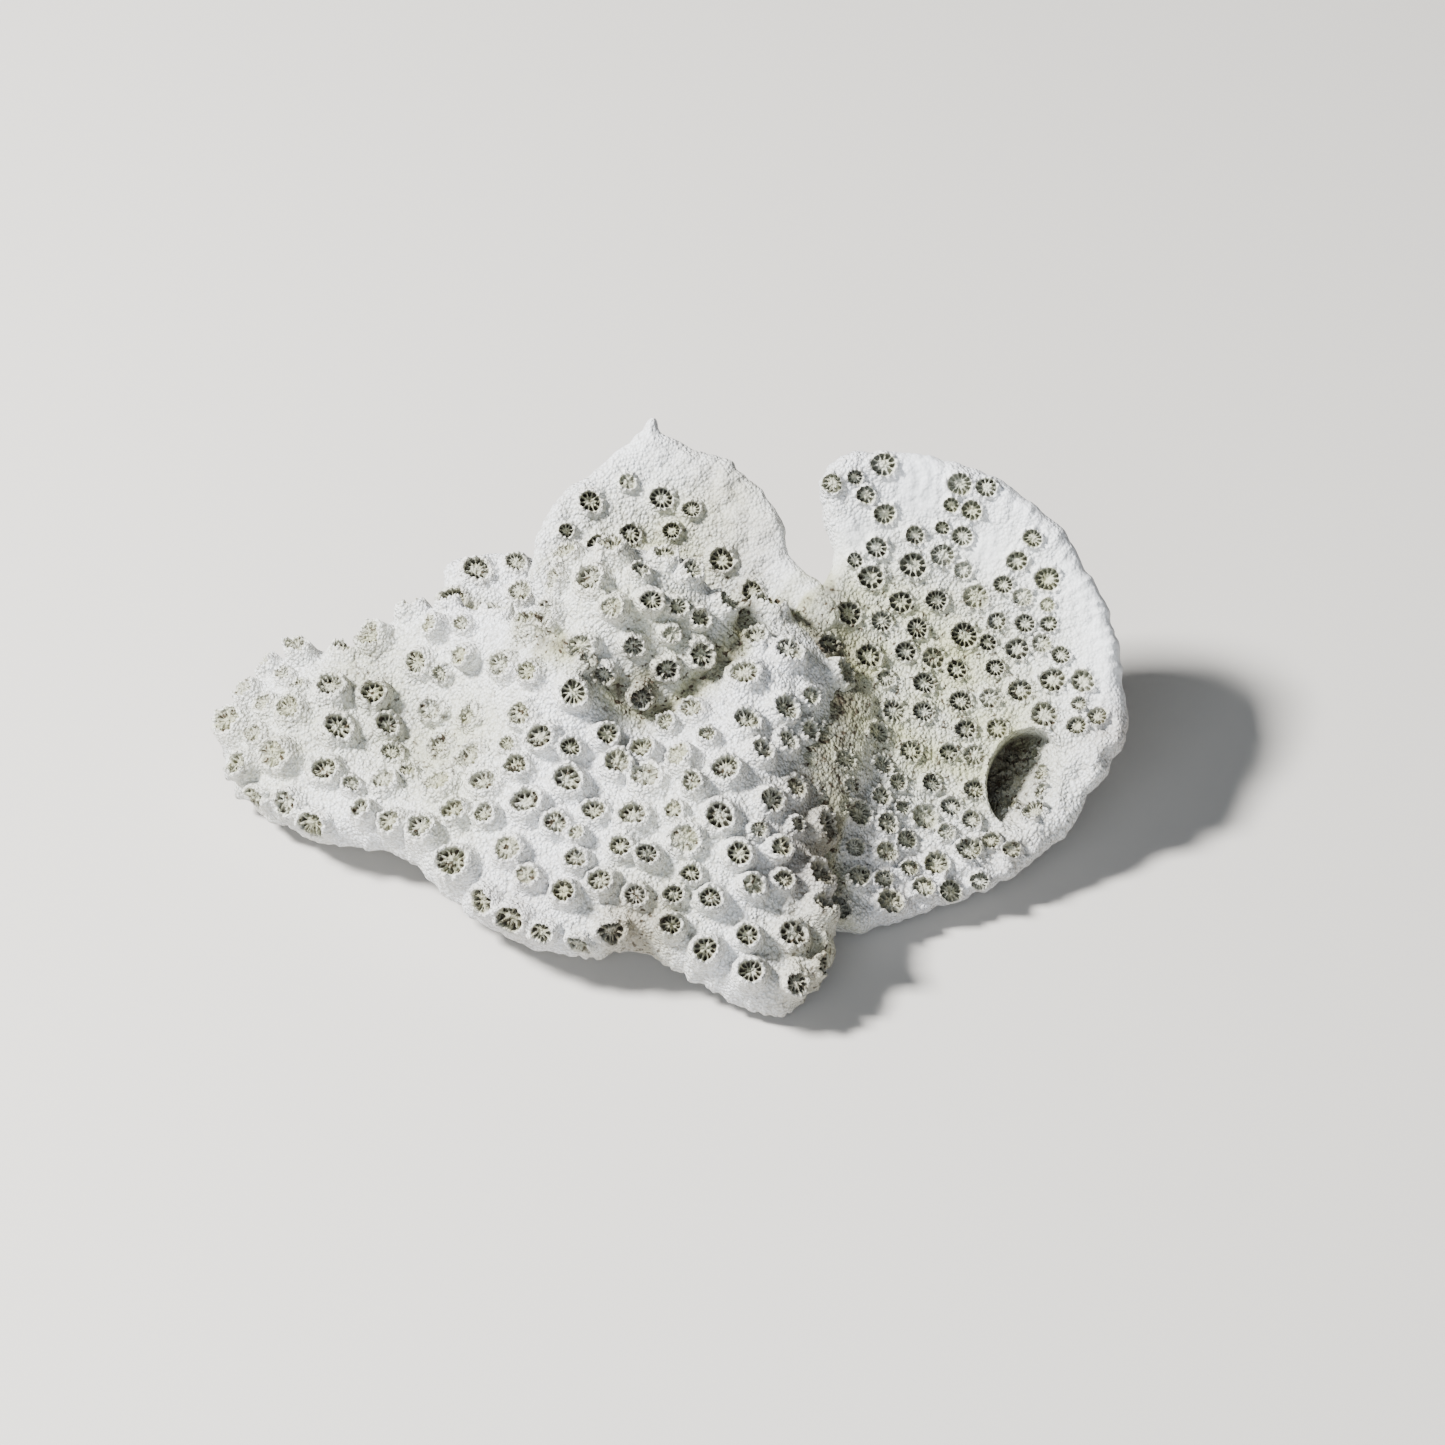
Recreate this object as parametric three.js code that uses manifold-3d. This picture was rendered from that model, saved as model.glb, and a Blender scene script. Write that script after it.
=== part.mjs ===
// Cabbage coral: the bleached skeleton of a leafy plate coral, cut flat underneath.
// Leaf-like fronds fork from one holdfast. Each frond is a tilted, dished plate with a rounded edge.
// Its upper face carries raised cups, the corallites, and its underside is smooth.
// Millimetres and degrees, +Z up, +Y to the back. The origin is the centre of the holdfast's flat cut.

import * as THREE from "three";
import { mergeVertices } from "three/addons/utils/BufferGeometryUtils.js";
import Module from "manifold-3d";

const wasm = await Module();
wasm.setup();

// Driving dimensions that all fronds share
const EDGE_ROUNDING = 2.6; // width of the band in which a frond's edge is rounded off
const JOIN_GAP = 0.3; // clearance left where two fronds meet
const EDGE_SPACING = 3; // spacing of the mesh along a frond's outline
const EDGE_CLEAR = 1.6; // no other point of the mesh comes closer to the outline than this
const TOP_SPACING = 5; // spacing of the mesh on a frond's upper face
const UNDER_SPACING = 8;
const ROW_STEP = Math.sqrt(3) / 2; // from one row of a hexagonal lattice to the next
const CUP_SIDES = 6;
const CUP_JITTER = 0.5; // how far a cup strays from its lattice place, as a share of the spacing
const CUP_PIT = 0.9; // depth of a cup's hollow, as a share of its radius
const CUP_FLARE = 1.3; // a cup's foot, as a share of its rim
const CUP_ROOM = 0.4; // clear skin between a cup's foot and the next point of the mesh
const CUP_WIDTHS = { least: 0.8, spread: 0.4 }; // widths of the cups, as shares of their mean
const CUP_HEIGHTS = { least: 0.7, spread: 0.6 }; // heights of the cups, as shares of their mean
const PROBE = 0.5; // reach to either side when the slope of a face is taken
const CORAL = { color: 0xe4e0d4, roughness: 0.92, metalness: 0 };

// The fronds. rise lifts a frond's back and roll lifts its right side.
// outline runs clockwise round the plate in its own plane. bend dishes it about the point from.
// swells are soft mounds of the whole plate, and keels thicken its underside.
const FRONDS = {
  right_fan: {
    origin: [35, 14, 17],
    rise: 42,
    roll: 0,
    thickness: 4.6,
    outline: [
      [-15, 16], [-17, 24], [-16, 29.5], [-11, 31.5], [-1, 30.5], [8, 27], [14.5, 22], [19.5, 14.5],
      [22.5, 7], [23.5, -1], [23.5, -7.5], [19, -14.5], [15.5, -20], [7, -26.5], [-3, -30.5],
      [-13, -33.5], [-18, -30.5], [-21, -22], [-23, -8], [-24, 3], [-20, 11],
    ],
    bend: { across: 0.007, along: 0.007, from: [-2, 5] },
    swells: [{ at: [-19, -13], reach: 8, height: 6 }],
    keels: [
      { at: [-12, -6], reach: 14, depth: 8 },
      { at: [8, -14], reach: 8, depth: 5 },
    ],
    cups: { spacing: 4.3, diameter: 2.9, height: 0.7, margin: 3, share: 0.95, seed: 1 },
  },
  back_frond: {
    origin: [-2.6, 29, 30],
    rise: 38,
    roll: 0,
    thickness: 4.2,
    outline: [
      [-18, -7], [-17.5, -1], [-16, 3.5], [-13, 7], [-6, 12.5], [-2, 16.5], [0, 14], [7.5, 11.5],
      [10, 9.5], [13.5, 6], [15.5, 2], [17, -3], [21, -7], [23, -12], [14, -17], [0, -20], [-13, -18],
    ],
    bend: { across: 0.006, along: 0.004, from: [0, -4] },
    swells: [],
    keels: [{ at: [6, -10], reach: 11, depth: 9 }],
    cups: { spacing: 6.2, diameter: 3.5, height: 1.2, margin: 3.6, share: 0.85, seed: 2 },
  },
  centre_knob: {
    origin: [-6.6, 11.2, 30.6],
    rise: 28,
    roll: 0,
    thickness: 6,
    outline: [
      [-11.5, 2.5], [-11, 7.5], [-8.5, 10], [-4.5, 11], [0.5, 10], [6, 8], [10, 5.5], [13, 2], [16, -5],
      [13, -12], [6, -16], [-4, -15], [-11, -10], [-13.5, -4],
    ],
    bend: { across: -0.012, along: -0.028, from: [0, 4] },
    swells: [{ at: [-1, 2], reach: 7, height: 4 }],
    keels: [{ at: [0, -4], reach: 8, depth: 10 }],
    cups: { spacing: 4.5, diameter: 3.6, height: 1.7, margin: 1.2, share: 1, seed: 3 },
  },
  front_frond: {
    origin: [6, -8, 18.4],
    rise: 23,
    roll: 0,
    thickness: 5.6,
    outline: [
      [-68.5, 16], [-65, 23.5], [-58.5, 28.5], [-53, 26.5], [-50, 26], [-47.5, 29.5], [-44.5, 31],
      [-40.5, 31.5], [-33.5, 29], [-25.5, 24.5], [-18, 19], [-13, 13], [-8.5, 14], [-6, 20], [-2, 26.5],
      [5.5, 28.5], [13.5, 23], [19.5, 16], [19, 7], [15, -3], [13, -11], [13.5, -19], [12, -24.5],
      [9.5, -27.5], [6.5, -29.5], [0.5, -27.5], [-6.5, -24], [-12, -21], [-21, -21], [-29.5, -17.5],
      [-38, -10.5], [-44, -4.5], [-56, 0], [-66, 8],
    ],
    bend: { across: -0.004, along: -0.004, from: [0, 0] },
    swells: [
      { at: [-34, 26], reach: 6, height: 2.5 },
      { at: [-22, 17], reach: 6, height: 5 },
      { at: [-41, 12], reach: 7, height: -3 },
      { at: [-57, 15], reach: 6, height: 2 },
      { at: [0, -1], reach: 8, height: 3 },
      { at: [8, 18], reach: 6.5, height: 3.5 },
      { at: [18, 24], reach: 6, height: -6 },
      { at: [-11, 3], reach: 5, height: -2 },
      { at: [-11, 13], reach: 5, height: -2 },
      { at: [23, 7], reach: 8.5, height: -11 },
      { at: [19, -8], reach: 6, height: -7 },
    ],
    keels: [
      { at: [-2, 6], reach: 11, depth: 7 },
      { at: [-28, 6], reach: 11, depth: 6 },
    ],
    cups: { spacing: 5.2, diameter: 4, height: 1.6, margin: 1.6, share: 0.97, seed: 5 },
  },
  back_leaf: {
    origin: [-26, 29, 21],
    rise: 25,
    roll: 0,
    thickness: 4,
    outline: [
      [-8, -2], [-7, 0.5], [-6.5, 4], [-1.5, 5.5], [5, 5], [9, 1], [12, -9], [10, -20], [0, -21],
      [-6, -13],
    ],
    bend: { across: 0.004, along: 0, from: [0, 0] },
    swells: [],
    keels: [{ at: [2, -6], reach: 7, depth: 5 }],
    cups: { spacing: 6, diameter: 3.4, height: 1, margin: 2.4, share: 0.8, seed: 8 },
  },
};

// The holdfast: a short stump with a flat cut, flaring into the mass that the fronds grow from.
const HOLDFAST = {
  profile: [[0, 0], [16, 0], [16.8, 1.5], [16, 4], [17, 7], [18, 10], [16, 14], [10, 18], [0, 19]],
  stretch: 1.25, // its width from left to right, as a share of its depth
  sectors: 24,
};

// The pocket that the fan's folded lower corner encloses, in the fan's own plane
const POCKET = { at: [9.5, -12.5, 6.5], radii: [4.6, 6.2, 5.2], turn: -20, sectors: 12, rings: 8 };

const radians = THREE.MathUtils.degToRad;
const bellCurve = (p, q, at, reach) => Math.exp(-((p - at[0]) ** 2 + (q - at[1]) ** 2) / (2 * reach ** 2));

// A repeatable share from 0 to 1 for lattice place (i, j), draw k.
function draw(i, j, k, seed) {
  const x = Math.sin(i * 127.1 + j * 311.7 + k * 74.7 + seed * 53.3) * 43758.5453;
  return x - Math.floor(x);
}

function placeOf(frond) {
  const turn = new THREE.Euler(radians(frond.rise), radians(-frond.roll), 0, "ZXY");
  return new THREE.Matrix4().makeRotationFromEuler(turn).setPosition(...frond.origin);
}

function outlineOf(frond) {
  const corners = frond.outline.map(([p, q]) => new THREE.Vector3(p, q, 0));
  const curve = new THREE.CatmullRomCurve3(corners, true, "catmullrom", 0.5);
  return curve.getSpacedPoints(Math.round(curve.getLength() / EDGE_SPACING)).slice(1);
}

// Distance from (p, q) to the outline, positive inside.
function edgeDistance(outline, p, q) {
  let nearest = Infinity;
  let inside = false;
  outline.forEach((a, i) => {
    const b = outline[(i + 1) % outline.length];
    const along = ((p - a.x) * (b.x - a.x) + (q - a.y) * (b.y - a.y)) / a.distanceToSquared(b);
    const t = THREE.MathUtils.clamp(along, 0, 1);
    nearest = Math.min(nearest, Math.hypot(p - a.x - t * (b.x - a.x), q - a.y - t * (b.y - a.y)));
    const crosses = a.y > q !== b.y > q;
    if (crosses && p < a.x + ((q - a.y) / (b.y - a.y)) * (b.x - a.x)) inside = !inside;
  });
  return inside ? nearest : -nearest;
}

// Height of the plate's middle surface over its own plane.
function middleHeight({ bend, swells }, p, q) {
  const dish = bend.across * (p - bend.from[0]) ** 2 + bend.along * (q - bend.from[1]) ** 2;
  return swells.reduce((sum, s) => sum + s.height * bellCurve(p, q, s.at, s.reach), dish);
}

// The rounded edge: 0 on the outline and 1 past the rounding band, along a quarter ellipse.
function edgeShare(distance) {
  const inward = THREE.MathUtils.clamp(distance / EDGE_ROUNDING, 0, 1);
  return Math.sqrt(1 - (1 - inward) ** 2);
}

function topHeight(frond, outline, p, q) {
  return middleHeight(frond, p, q) + (frond.thickness / 2) * edgeShare(edgeDistance(outline, p, q));
}

function underHeight(frond, outline, p, q) {
  const share = edgeShare(edgeDistance(outline, p, q));
  const keel = frond.keels.reduce((sum, k) => sum + k.depth * bellCurve(p, q, k.at, k.reach), 0);
  return middleHeight(frond, p, q) - (frond.thickness / 2 + keel) * share;
}

// The frond as one closed skin: an upper face with its cups, and an underside, sewn together along
// the outline. swell makes it that much larger all round, to cut a neighbour clear of it.
function plateGeometry(frond, sites, swell) {
  const outline = outlineOf(frond);
  const edge = outline.map(({ x, y }, i) => {
    const outward = outwardAt(outline, i).multiplyScalar(swell);
    return { p: x, q: y, corner: [x + outward.x, y + outward.y, middleHeight(frond, x, y)] };
  });
  const face = (spacing, obstacles, heightOf, lift) => {
    const clearOf = ({ p, q }, { foot, radius }) =>
      Math.hypot(p - foot.x, q - foot.y) > radius * CUP_FLARE + CUP_ROOM;
    const isFree = (point) =>
      edgeDistance(outline, point.p, point.q) > EDGE_CLEAR && obstacles.every((cup) => clearOf(point, cup));
    const field = [...edgeBand(outline), ...lattice(outline, spacing)].filter(isFree);
    return field.map(({ p, q }) => ({ p, q, corner: [p, q, heightOf(frond, outline, p, q) + lift] }));
  };
  const cups = sites.flatMap((site) => cupPoints(site, swell));
  const top = [...edge, ...cups, ...face(TOP_SPACING, sites, topHeight, swell)];
  const under = [...edge, ...face(UNDER_SPACING, [], underHeight, -swell)];

  // The underside's own points follow the top's, and the edge points are the same ones.
  const shifted = (i) => (i < edge.length ? i : i - edge.length + top.length);
  const upward = triangles(top, outline).flat();
  const downward = triangles(under, outline).flatMap(([a, b, c]) => [a, c, b].map(shifted));
  const corners = [...top, ...under.slice(edge.length)].flatMap(({ corner }) => corner);
  const geometry = new THREE.BufferGeometry();
  geometry.setAttribute("position", new THREE.Float32BufferAttribute(corners, 3));
  return geometry.setIndex([...upward, ...downward]);
}

// The outline's normal at its point i, pointing out of the plate.
function outwardAt(outline, i) {
  const before = outline.at(i - 1);
  const after = outline[(i + 1) % outline.length];
  return new THREE.Vector2(before.y - after.y, after.x - before.x).normalize();
}

// A row of points just inside the outline, where the rounded edge has come up to the face.
function edgeBand(outline) {
  return outline.map(({ x, y }, i) => {
    const outward = outwardAt(outline, i);
    return { p: x - EDGE_ROUNDING * outward.x, q: y - EDGE_ROUNDING * outward.y };
  });
}

// A hexagonal lattice of points that covers the outline's box.
function lattice(outline, spacing) {
  const steps = Math.ceil(Math.max(...outline.map((o) => o.length())) / (spacing * ROW_STEP));
  const count = 2 * steps + 1;
  return Array.from({ length: count * count }, (_, n) => {
    const i = (n % count) - steps;
    const j = Math.floor(n / count) - steps;
    return { i, j, p: spacing * (i + 0.5 * (Math.abs(j) % 2)), q: spacing * ROW_STEP * j };
  });
}

// A cup in the skin: the bottom of its funnel-shaped hollow, a ring at its rim and a ring at its foot.
function cupPoints({ foot, axis, radius, height, turn }, swell) {
  const ring = (reach, rise, start) =>
    Array.from({ length: CUP_SIDES }, (_, k) => {
      const angle = turn + (2 * Math.PI * (k + start)) / CUP_SIDES;
      const p = foot.x + reach * Math.cos(angle);
      const q = foot.y + reach * Math.sin(angle);
      const tilt = -(axis.x * (p - foot.x) + axis.y * (q - foot.y)) / axis.z;
      return { p, q, corner: [p + rise * axis.x, q + rise * axis.y, foot.z + tilt + rise * axis.z] };
    });
  const pit = foot.clone().addScaledVector(axis, swell + height - CUP_PIT * radius);
  const bottom = { p: foot.x, q: foot.y, corner: pit.toArray() };
  return [bottom, ...ring(radius, height + swell, 0), ...ring(radius * CUP_FLARE, swell, 0.5)];
}

// Delaunay triangles of the points inside the outline, made by adding one point at a time.
function triangles(points, outline) {
  const far = 1e4;
  const all = [...points, { p: -far, q: -far }, { p: far, q: -far }, { p: 0, q: far }];
  const n = points.length;
  let found = [withCircle(all, [n, n + 1, n + 2])];
  points.forEach(({ p, q }, i) => {
    const rim = new Map();
    found = found.filter(({ corners, centre, radius }) => {
      if (Math.hypot(p - centre[0], q - centre[1]) > radius) return true;
      corners.forEach((a, k) => {
        const b = corners[(k + 1) % 3];
        if (!rim.delete(`${b} ${a}`)) rim.set(`${a} ${b}`, [a, b]);
      });
      return false;
    });
    rim.forEach(([a, b]) => found.push(withCircle(all, [a, b, i])));
  });
  const isInside = ([a, b, c]) => {
    const middle = (key) => (points[a][key] + points[b][key] + points[c][key]) / 3;
    return edgeDistance(outline, middle("p"), middle("q")) > 0;
  };
  return found.map(({ corners }) => corners).filter((c) => Math.max(...c) < n && isInside(c));
}

function withCircle(points, corners) {
  const [a, b, c] = corners.map((k) => points[k]);
  const [bp, bq, cp, cq] = [b.p - a.p, b.q - a.q, c.p - a.p, c.q - a.q];
  const double = 2 * (bp * cq - bq * cp);
  const dp = (cq * (bp ** 2 + bq ** 2) - bq * (cp ** 2 + cq ** 2)) / double;
  const dq = (bp * (cp ** 2 + cq ** 2) - cp * (bp ** 2 + bq ** 2)) / double;
  return { corners, centre: [a.p + dp, a.q + dq], radius: Math.hypot(dp, dq) };
}

// Places of a frond's cups on a jittered lattice, each with its size and the way it faces.
function cupSites(frond) {
  const { spacing, diameter, height, margin, share, seed } = frond.cups;
  const outline = outlineOf(frond);
  return lattice(outline, spacing).flatMap(({ i, j, p: row, q: column }) => {
    const p = row + spacing * CUP_JITTER * (draw(i, j, 1, seed) - 0.5);
    const q = column + spacing * CUP_JITTER * (draw(i, j, 2, seed) - 0.5);
    const radius = (diameter / 2) * (CUP_WIDTHS.least + CUP_WIDTHS.spread * draw(i, j, 4, seed));
    const clear = Math.max(margin, radius * CUP_FLARE + EDGE_CLEAR);
    if (draw(i, j, 3, seed) > share || edgeDistance(outline, p, q) < clear) return [];
    const top = (dp, dq) => topHeight(frond, outline, p + dp, q + dq);
    const across = (top(-PROBE, 0) - top(PROBE, 0)) / (2 * PROBE);
    const along = (top(0, -PROBE) - top(0, PROBE)) / (2 * PROBE);
    return {
      foot: new THREE.Vector3(p, q, top(0, 0)),
      axis: new THREE.Vector3(across, along, 1).normalize(),
      radius,
      height: height * (CUP_HEIGHTS.least + CUP_HEIGHTS.spread * draw(i, j, 5, seed)),
      turn: 2 * Math.PI * draw(i, j, 6, seed),
    };
  });
}

// True where a point of one frond lies inside another, or closer to it than margin.
function isBuried(point, owner, margin) {
  return Object.entries(FRONDS).some(([name, frond]) => {
    if (name === owner) return false;
    const { x, y, z } = point.clone().applyMatrix4(placeOf(frond).invert());
    const outline = outlineOf(frond);
    const near = edgeDistance(outline, x, y) > -margin;
    const below = z < topHeight(frond, outline, x, y) + margin;
    return near && below && z > underHeight(frond, outline, x, y) - margin;
  });
}

function solidOf(geometry, place) {
  const bare = new THREE.BufferGeometry();
  bare.setAttribute("position", geometry.getAttribute("position").clone());
  bare.setIndex(geometry.getIndex());
  const merged = mergeVertices(bare.applyMatrix4(place), 1e-4);
  const vertProperties = merged.getAttribute("position").array;
  const triVerts = dropCollapsed(merged.getIndex().array);
  return new wasm.Manifold(new wasm.Mesh({ numProp: 3, vertProperties, triVerts }));
}

// The triangles that still have three corners once shared vertices are merged.
function dropCollapsed(corners) {
  const kept = [];
  for (let i = 0; i < corners.length; i += 3) {
    const [a, b, c] = corners.slice(i, i + 3);
    if (a !== b && b !== c && c !== a) kept.push(a, b, c);
  }
  return new Uint32Array(kept);
}

function geometryOf(solid, place) {
  const { vertProperties, triVerts } = solid.getMesh();
  const geometry = new THREE.BufferGeometry();
  geometry.setAttribute("position", new THREE.BufferAttribute(new Float32Array(vertProperties), 3));
  geometry.setIndex(new THREE.BufferAttribute(new Uint32Array(triVerts), 1));
  return geometry.applyMatrix4(place.clone().invert());
}

const largestBody = (solid) => solid.decompose().sort((a, b) => b.volume() - a.volume())[0];

// The frond's cups that no other frond covers.
function freeSites(name) {
  const place = placeOf(FRONDS[name]);
  const standsFree = ({ foot, radius }) =>
    !isBuried(foot.clone().applyMatrix4(place), name, radius * CUP_FLARE + JOIN_GAP);
  return cupSites(FRONDS[name]).filter(standsFree);
}

function frondSolid(name, swell) {
  const place = placeOf(FRONDS[name]);
  return solidOf(plateGeometry(FRONDS[name], freeSites(name), swell), place);
}

function pocketSolid(place) {
  const geometry = new THREE.SphereGeometry(1, POCKET.sectors, POCKET.rings).scale(...POCKET.radii);
  return solidOf(geometry.rotateZ(radians(POCKET.turn)).translate(...POCKET.at), place);
}

function holdfastSolid() {
  const profile = HOLDFAST.profile.map(([r, z]) => new THREE.Vector2(r, z));
  const geometry = new THREE.LatheGeometry(profile, HOLDFAST.sectors).rotateX(Math.PI / 2);
  return solidOf(geometry.scale(HOLDFAST.stretch, 1, 1), new THREE.Matrix4());
}

const material = new THREE.MeshStandardMaterial(CORAL);
const coral = new THREE.Group();
coral.name = "cabbage_coral";

// Each frond is cut clear of the ones before it, and the holdfast of them all.
const cutters = [];
const cutClear = (solid) => largestBody(cutters.reduce((left, cutter) => left.subtract(cutter), solid));
for (const [name, frond] of Object.entries(FRONDS)) {
  const place = placeOf(frond);
  const whole = cutClear(frondSolid(name, 0));
  const solid = name === "right_fan" ? whole.subtract(pocketSolid(place)) : whole;
  const mesh = new THREE.Mesh(geometryOf(solid, place), material);
  mesh.name = name;
  place.decompose(mesh.position, mesh.quaternion, mesh.scale);
  coral.add(mesh);
  cutters.push(frondSolid(name, JOIN_GAP));
}
const holdfast = new THREE.Mesh(geometryOf(cutClear(holdfastSolid()), new THREE.Matrix4()), material);
holdfast.name = "holdfast";
coral.add(holdfast);

export default coral;
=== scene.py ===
"""Looks of a bleached cabbage coral: leafy fronds with ribbed cups on a stump that is cut flat.

Each frond is a surface over its own tilted plane, in millimetres. Its upper face and its underside are
functions of the two plane coordinates (p, q), and they meet along the frond's outline. The finished
meshes are in metres, in the frame of the solids.
"""

import logging
import math
from dataclasses import astuple, dataclass, field, replace
from enum import Enum

import bpy
import numpy as np
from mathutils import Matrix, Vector
from mathutils.geometry import delaunay_2d_cdt


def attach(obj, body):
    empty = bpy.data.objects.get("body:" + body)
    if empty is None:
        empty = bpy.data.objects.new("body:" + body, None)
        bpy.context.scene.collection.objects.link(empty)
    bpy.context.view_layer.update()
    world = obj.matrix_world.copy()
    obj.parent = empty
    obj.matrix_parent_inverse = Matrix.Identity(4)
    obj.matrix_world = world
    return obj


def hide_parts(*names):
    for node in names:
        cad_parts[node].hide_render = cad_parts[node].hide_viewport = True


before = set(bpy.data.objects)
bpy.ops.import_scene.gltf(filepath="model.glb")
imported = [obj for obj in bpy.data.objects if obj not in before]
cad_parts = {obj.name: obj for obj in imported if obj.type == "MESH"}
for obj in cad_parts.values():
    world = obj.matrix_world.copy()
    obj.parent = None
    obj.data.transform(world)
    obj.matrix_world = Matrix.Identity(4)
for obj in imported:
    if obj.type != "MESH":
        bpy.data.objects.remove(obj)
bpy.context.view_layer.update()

Array = np.ndarray
Socket = bpy.types.NodeSocket
MM = 0.001
TINY = 1e-9
ROW_STEP = math.sqrt(3) / 2
DRAW_STEPS = (127.1, 311.7, 74.7, 53.3)
DRAW_SCALE = 43758.5453
EDGE_ROUNDING = 2.6  # width of the rounding along a frond's edge
CUP_JITTER = 0.8  # share of the lattice spacing
SKIRT = 1.45  # where a cup's foot ends, in cup radii
LEAST_FILLET = 1.5
FILLETS = {  # frond and neighbour: how far off the skin starts to bend over
    ("right_fan", "front_frond"): 12.0,
    ("front_frond", "right_fan"): 5.0,
    ("right_fan", "back_frond"): 6.0,
    ("back_frond", "right_fan"): 6.0,
}
log = logging.getLogger("coral")


class Face(Enum):
    """The two faces of a frond, with the side of the plane each one is on."""

    TOP = 1
    UNDER = -1


def drawn(i: Array, j: Array, k: Array | int, seed: int) -> Array:
    """Gives a repeatable share from 0 to 1 for lattice indices: what a large sine leaves over."""
    a, b, c, d = DRAW_STEPS
    x = np.sin(i * a + j * b + k * c + seed * d) * DRAW_SCALE
    return x - np.floor(x)


def smooth_step(low: float, high: float, x: Array) -> Array:
    """Rises from 0 at low to 1 at high, as three t squared minus two t cubed. Low may be above high."""
    t = np.clip((x - low) / (high - low), 0.0, 1.0)
    return t * t * (3.0 - 2.0 * t)


def grain(points: Array, size: float, seed: int) -> Array:
    """Reads smooth random lumps at points in space.

    Args:
        points: Rows of three coordinates, in millimetres.
        size: Spacing of the lumps.
        seed: Number of the series.

    Returns:
        Values from -1 to 1: drawn lattice values, blended along each axis with a cubic.
    """
    cell = np.floor(points / size)
    t = smooth_step(0.0, 1.0, points / size - cell)
    total = np.zeros(len(points))
    for corner in np.ndindex(2, 2, 2):
        weight = np.prod(np.where(np.array(corner) == 1, t, 1.0 - t), axis=1)
        place = cell + np.array(corner)
        total += weight * drawn(place[:, 0], place[:, 1], place[:, 2], seed)
    return 2.0 * total - 1.0


def inward_normals(edge: Array, reach: int) -> Array:
    """Gives the unit vectors that point inwards across a clockwise outline.

    Args:
        edge: Rows of plane coordinates round the outline.
        reach: How many points to either side give its direction.

    Returns:
        One row per point: the way along the outline, turned right by a quarter.
    """
    way = np.roll(edge, -reach, axis=0) - np.roll(edge, reach, axis=0)
    inward = np.stack([way[:, 1], -way[:, 0]], axis=1)
    return inward / np.linalg.norm(inward, axis=1, keepdims=True)


@dataclass(frozen=True)
class Bell:
    """A soft round mound: amount times e to the minus half the squared distance over reach.

    Attributes:
        at: Its middle in the frond's plane.
        reach: Its width.
        amount: Its height at the middle.
    """

    at: tuple[float, float]
    reach: float
    amount: float

    def read(self, p: Array, q: Array) -> Array:
        """Reads its height at plane coordinates."""
        squared = (p - self.at[0]) ** 2 + (q - self.at[1]) ** 2
        return self.amount * np.exp(-squared / (2.0 * self.reach**2))


def heaped(bells: tuple[Bell, ...], p: Array, q: Array) -> Array:
    """Adds up soft mounds at plane coordinates."""
    return sum((bell.read(p, q) for bell in bells), np.zeros_like(p))


@dataclass(frozen=True)
class CupPlan:
    """How a frond's cups are laid out on their lattice.

    Attributes:
        spacing: Lattice spacing.
        diameter: Mean outer width of a cup.
        height: Mean height of its rim.
        margin: Least distance from the frond's edge.
        room: Least distance between two rims.
        seed: Number of the random series.
        aperture: Width of the opening as a share of the cup's.
        chalk: How white its rims are, as a share.
    """

    spacing: float
    diameter: float
    height: float
    margin: float
    room: float
    seed: int
    aperture: float = 0.7
    chalk: float = 1.0


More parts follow.
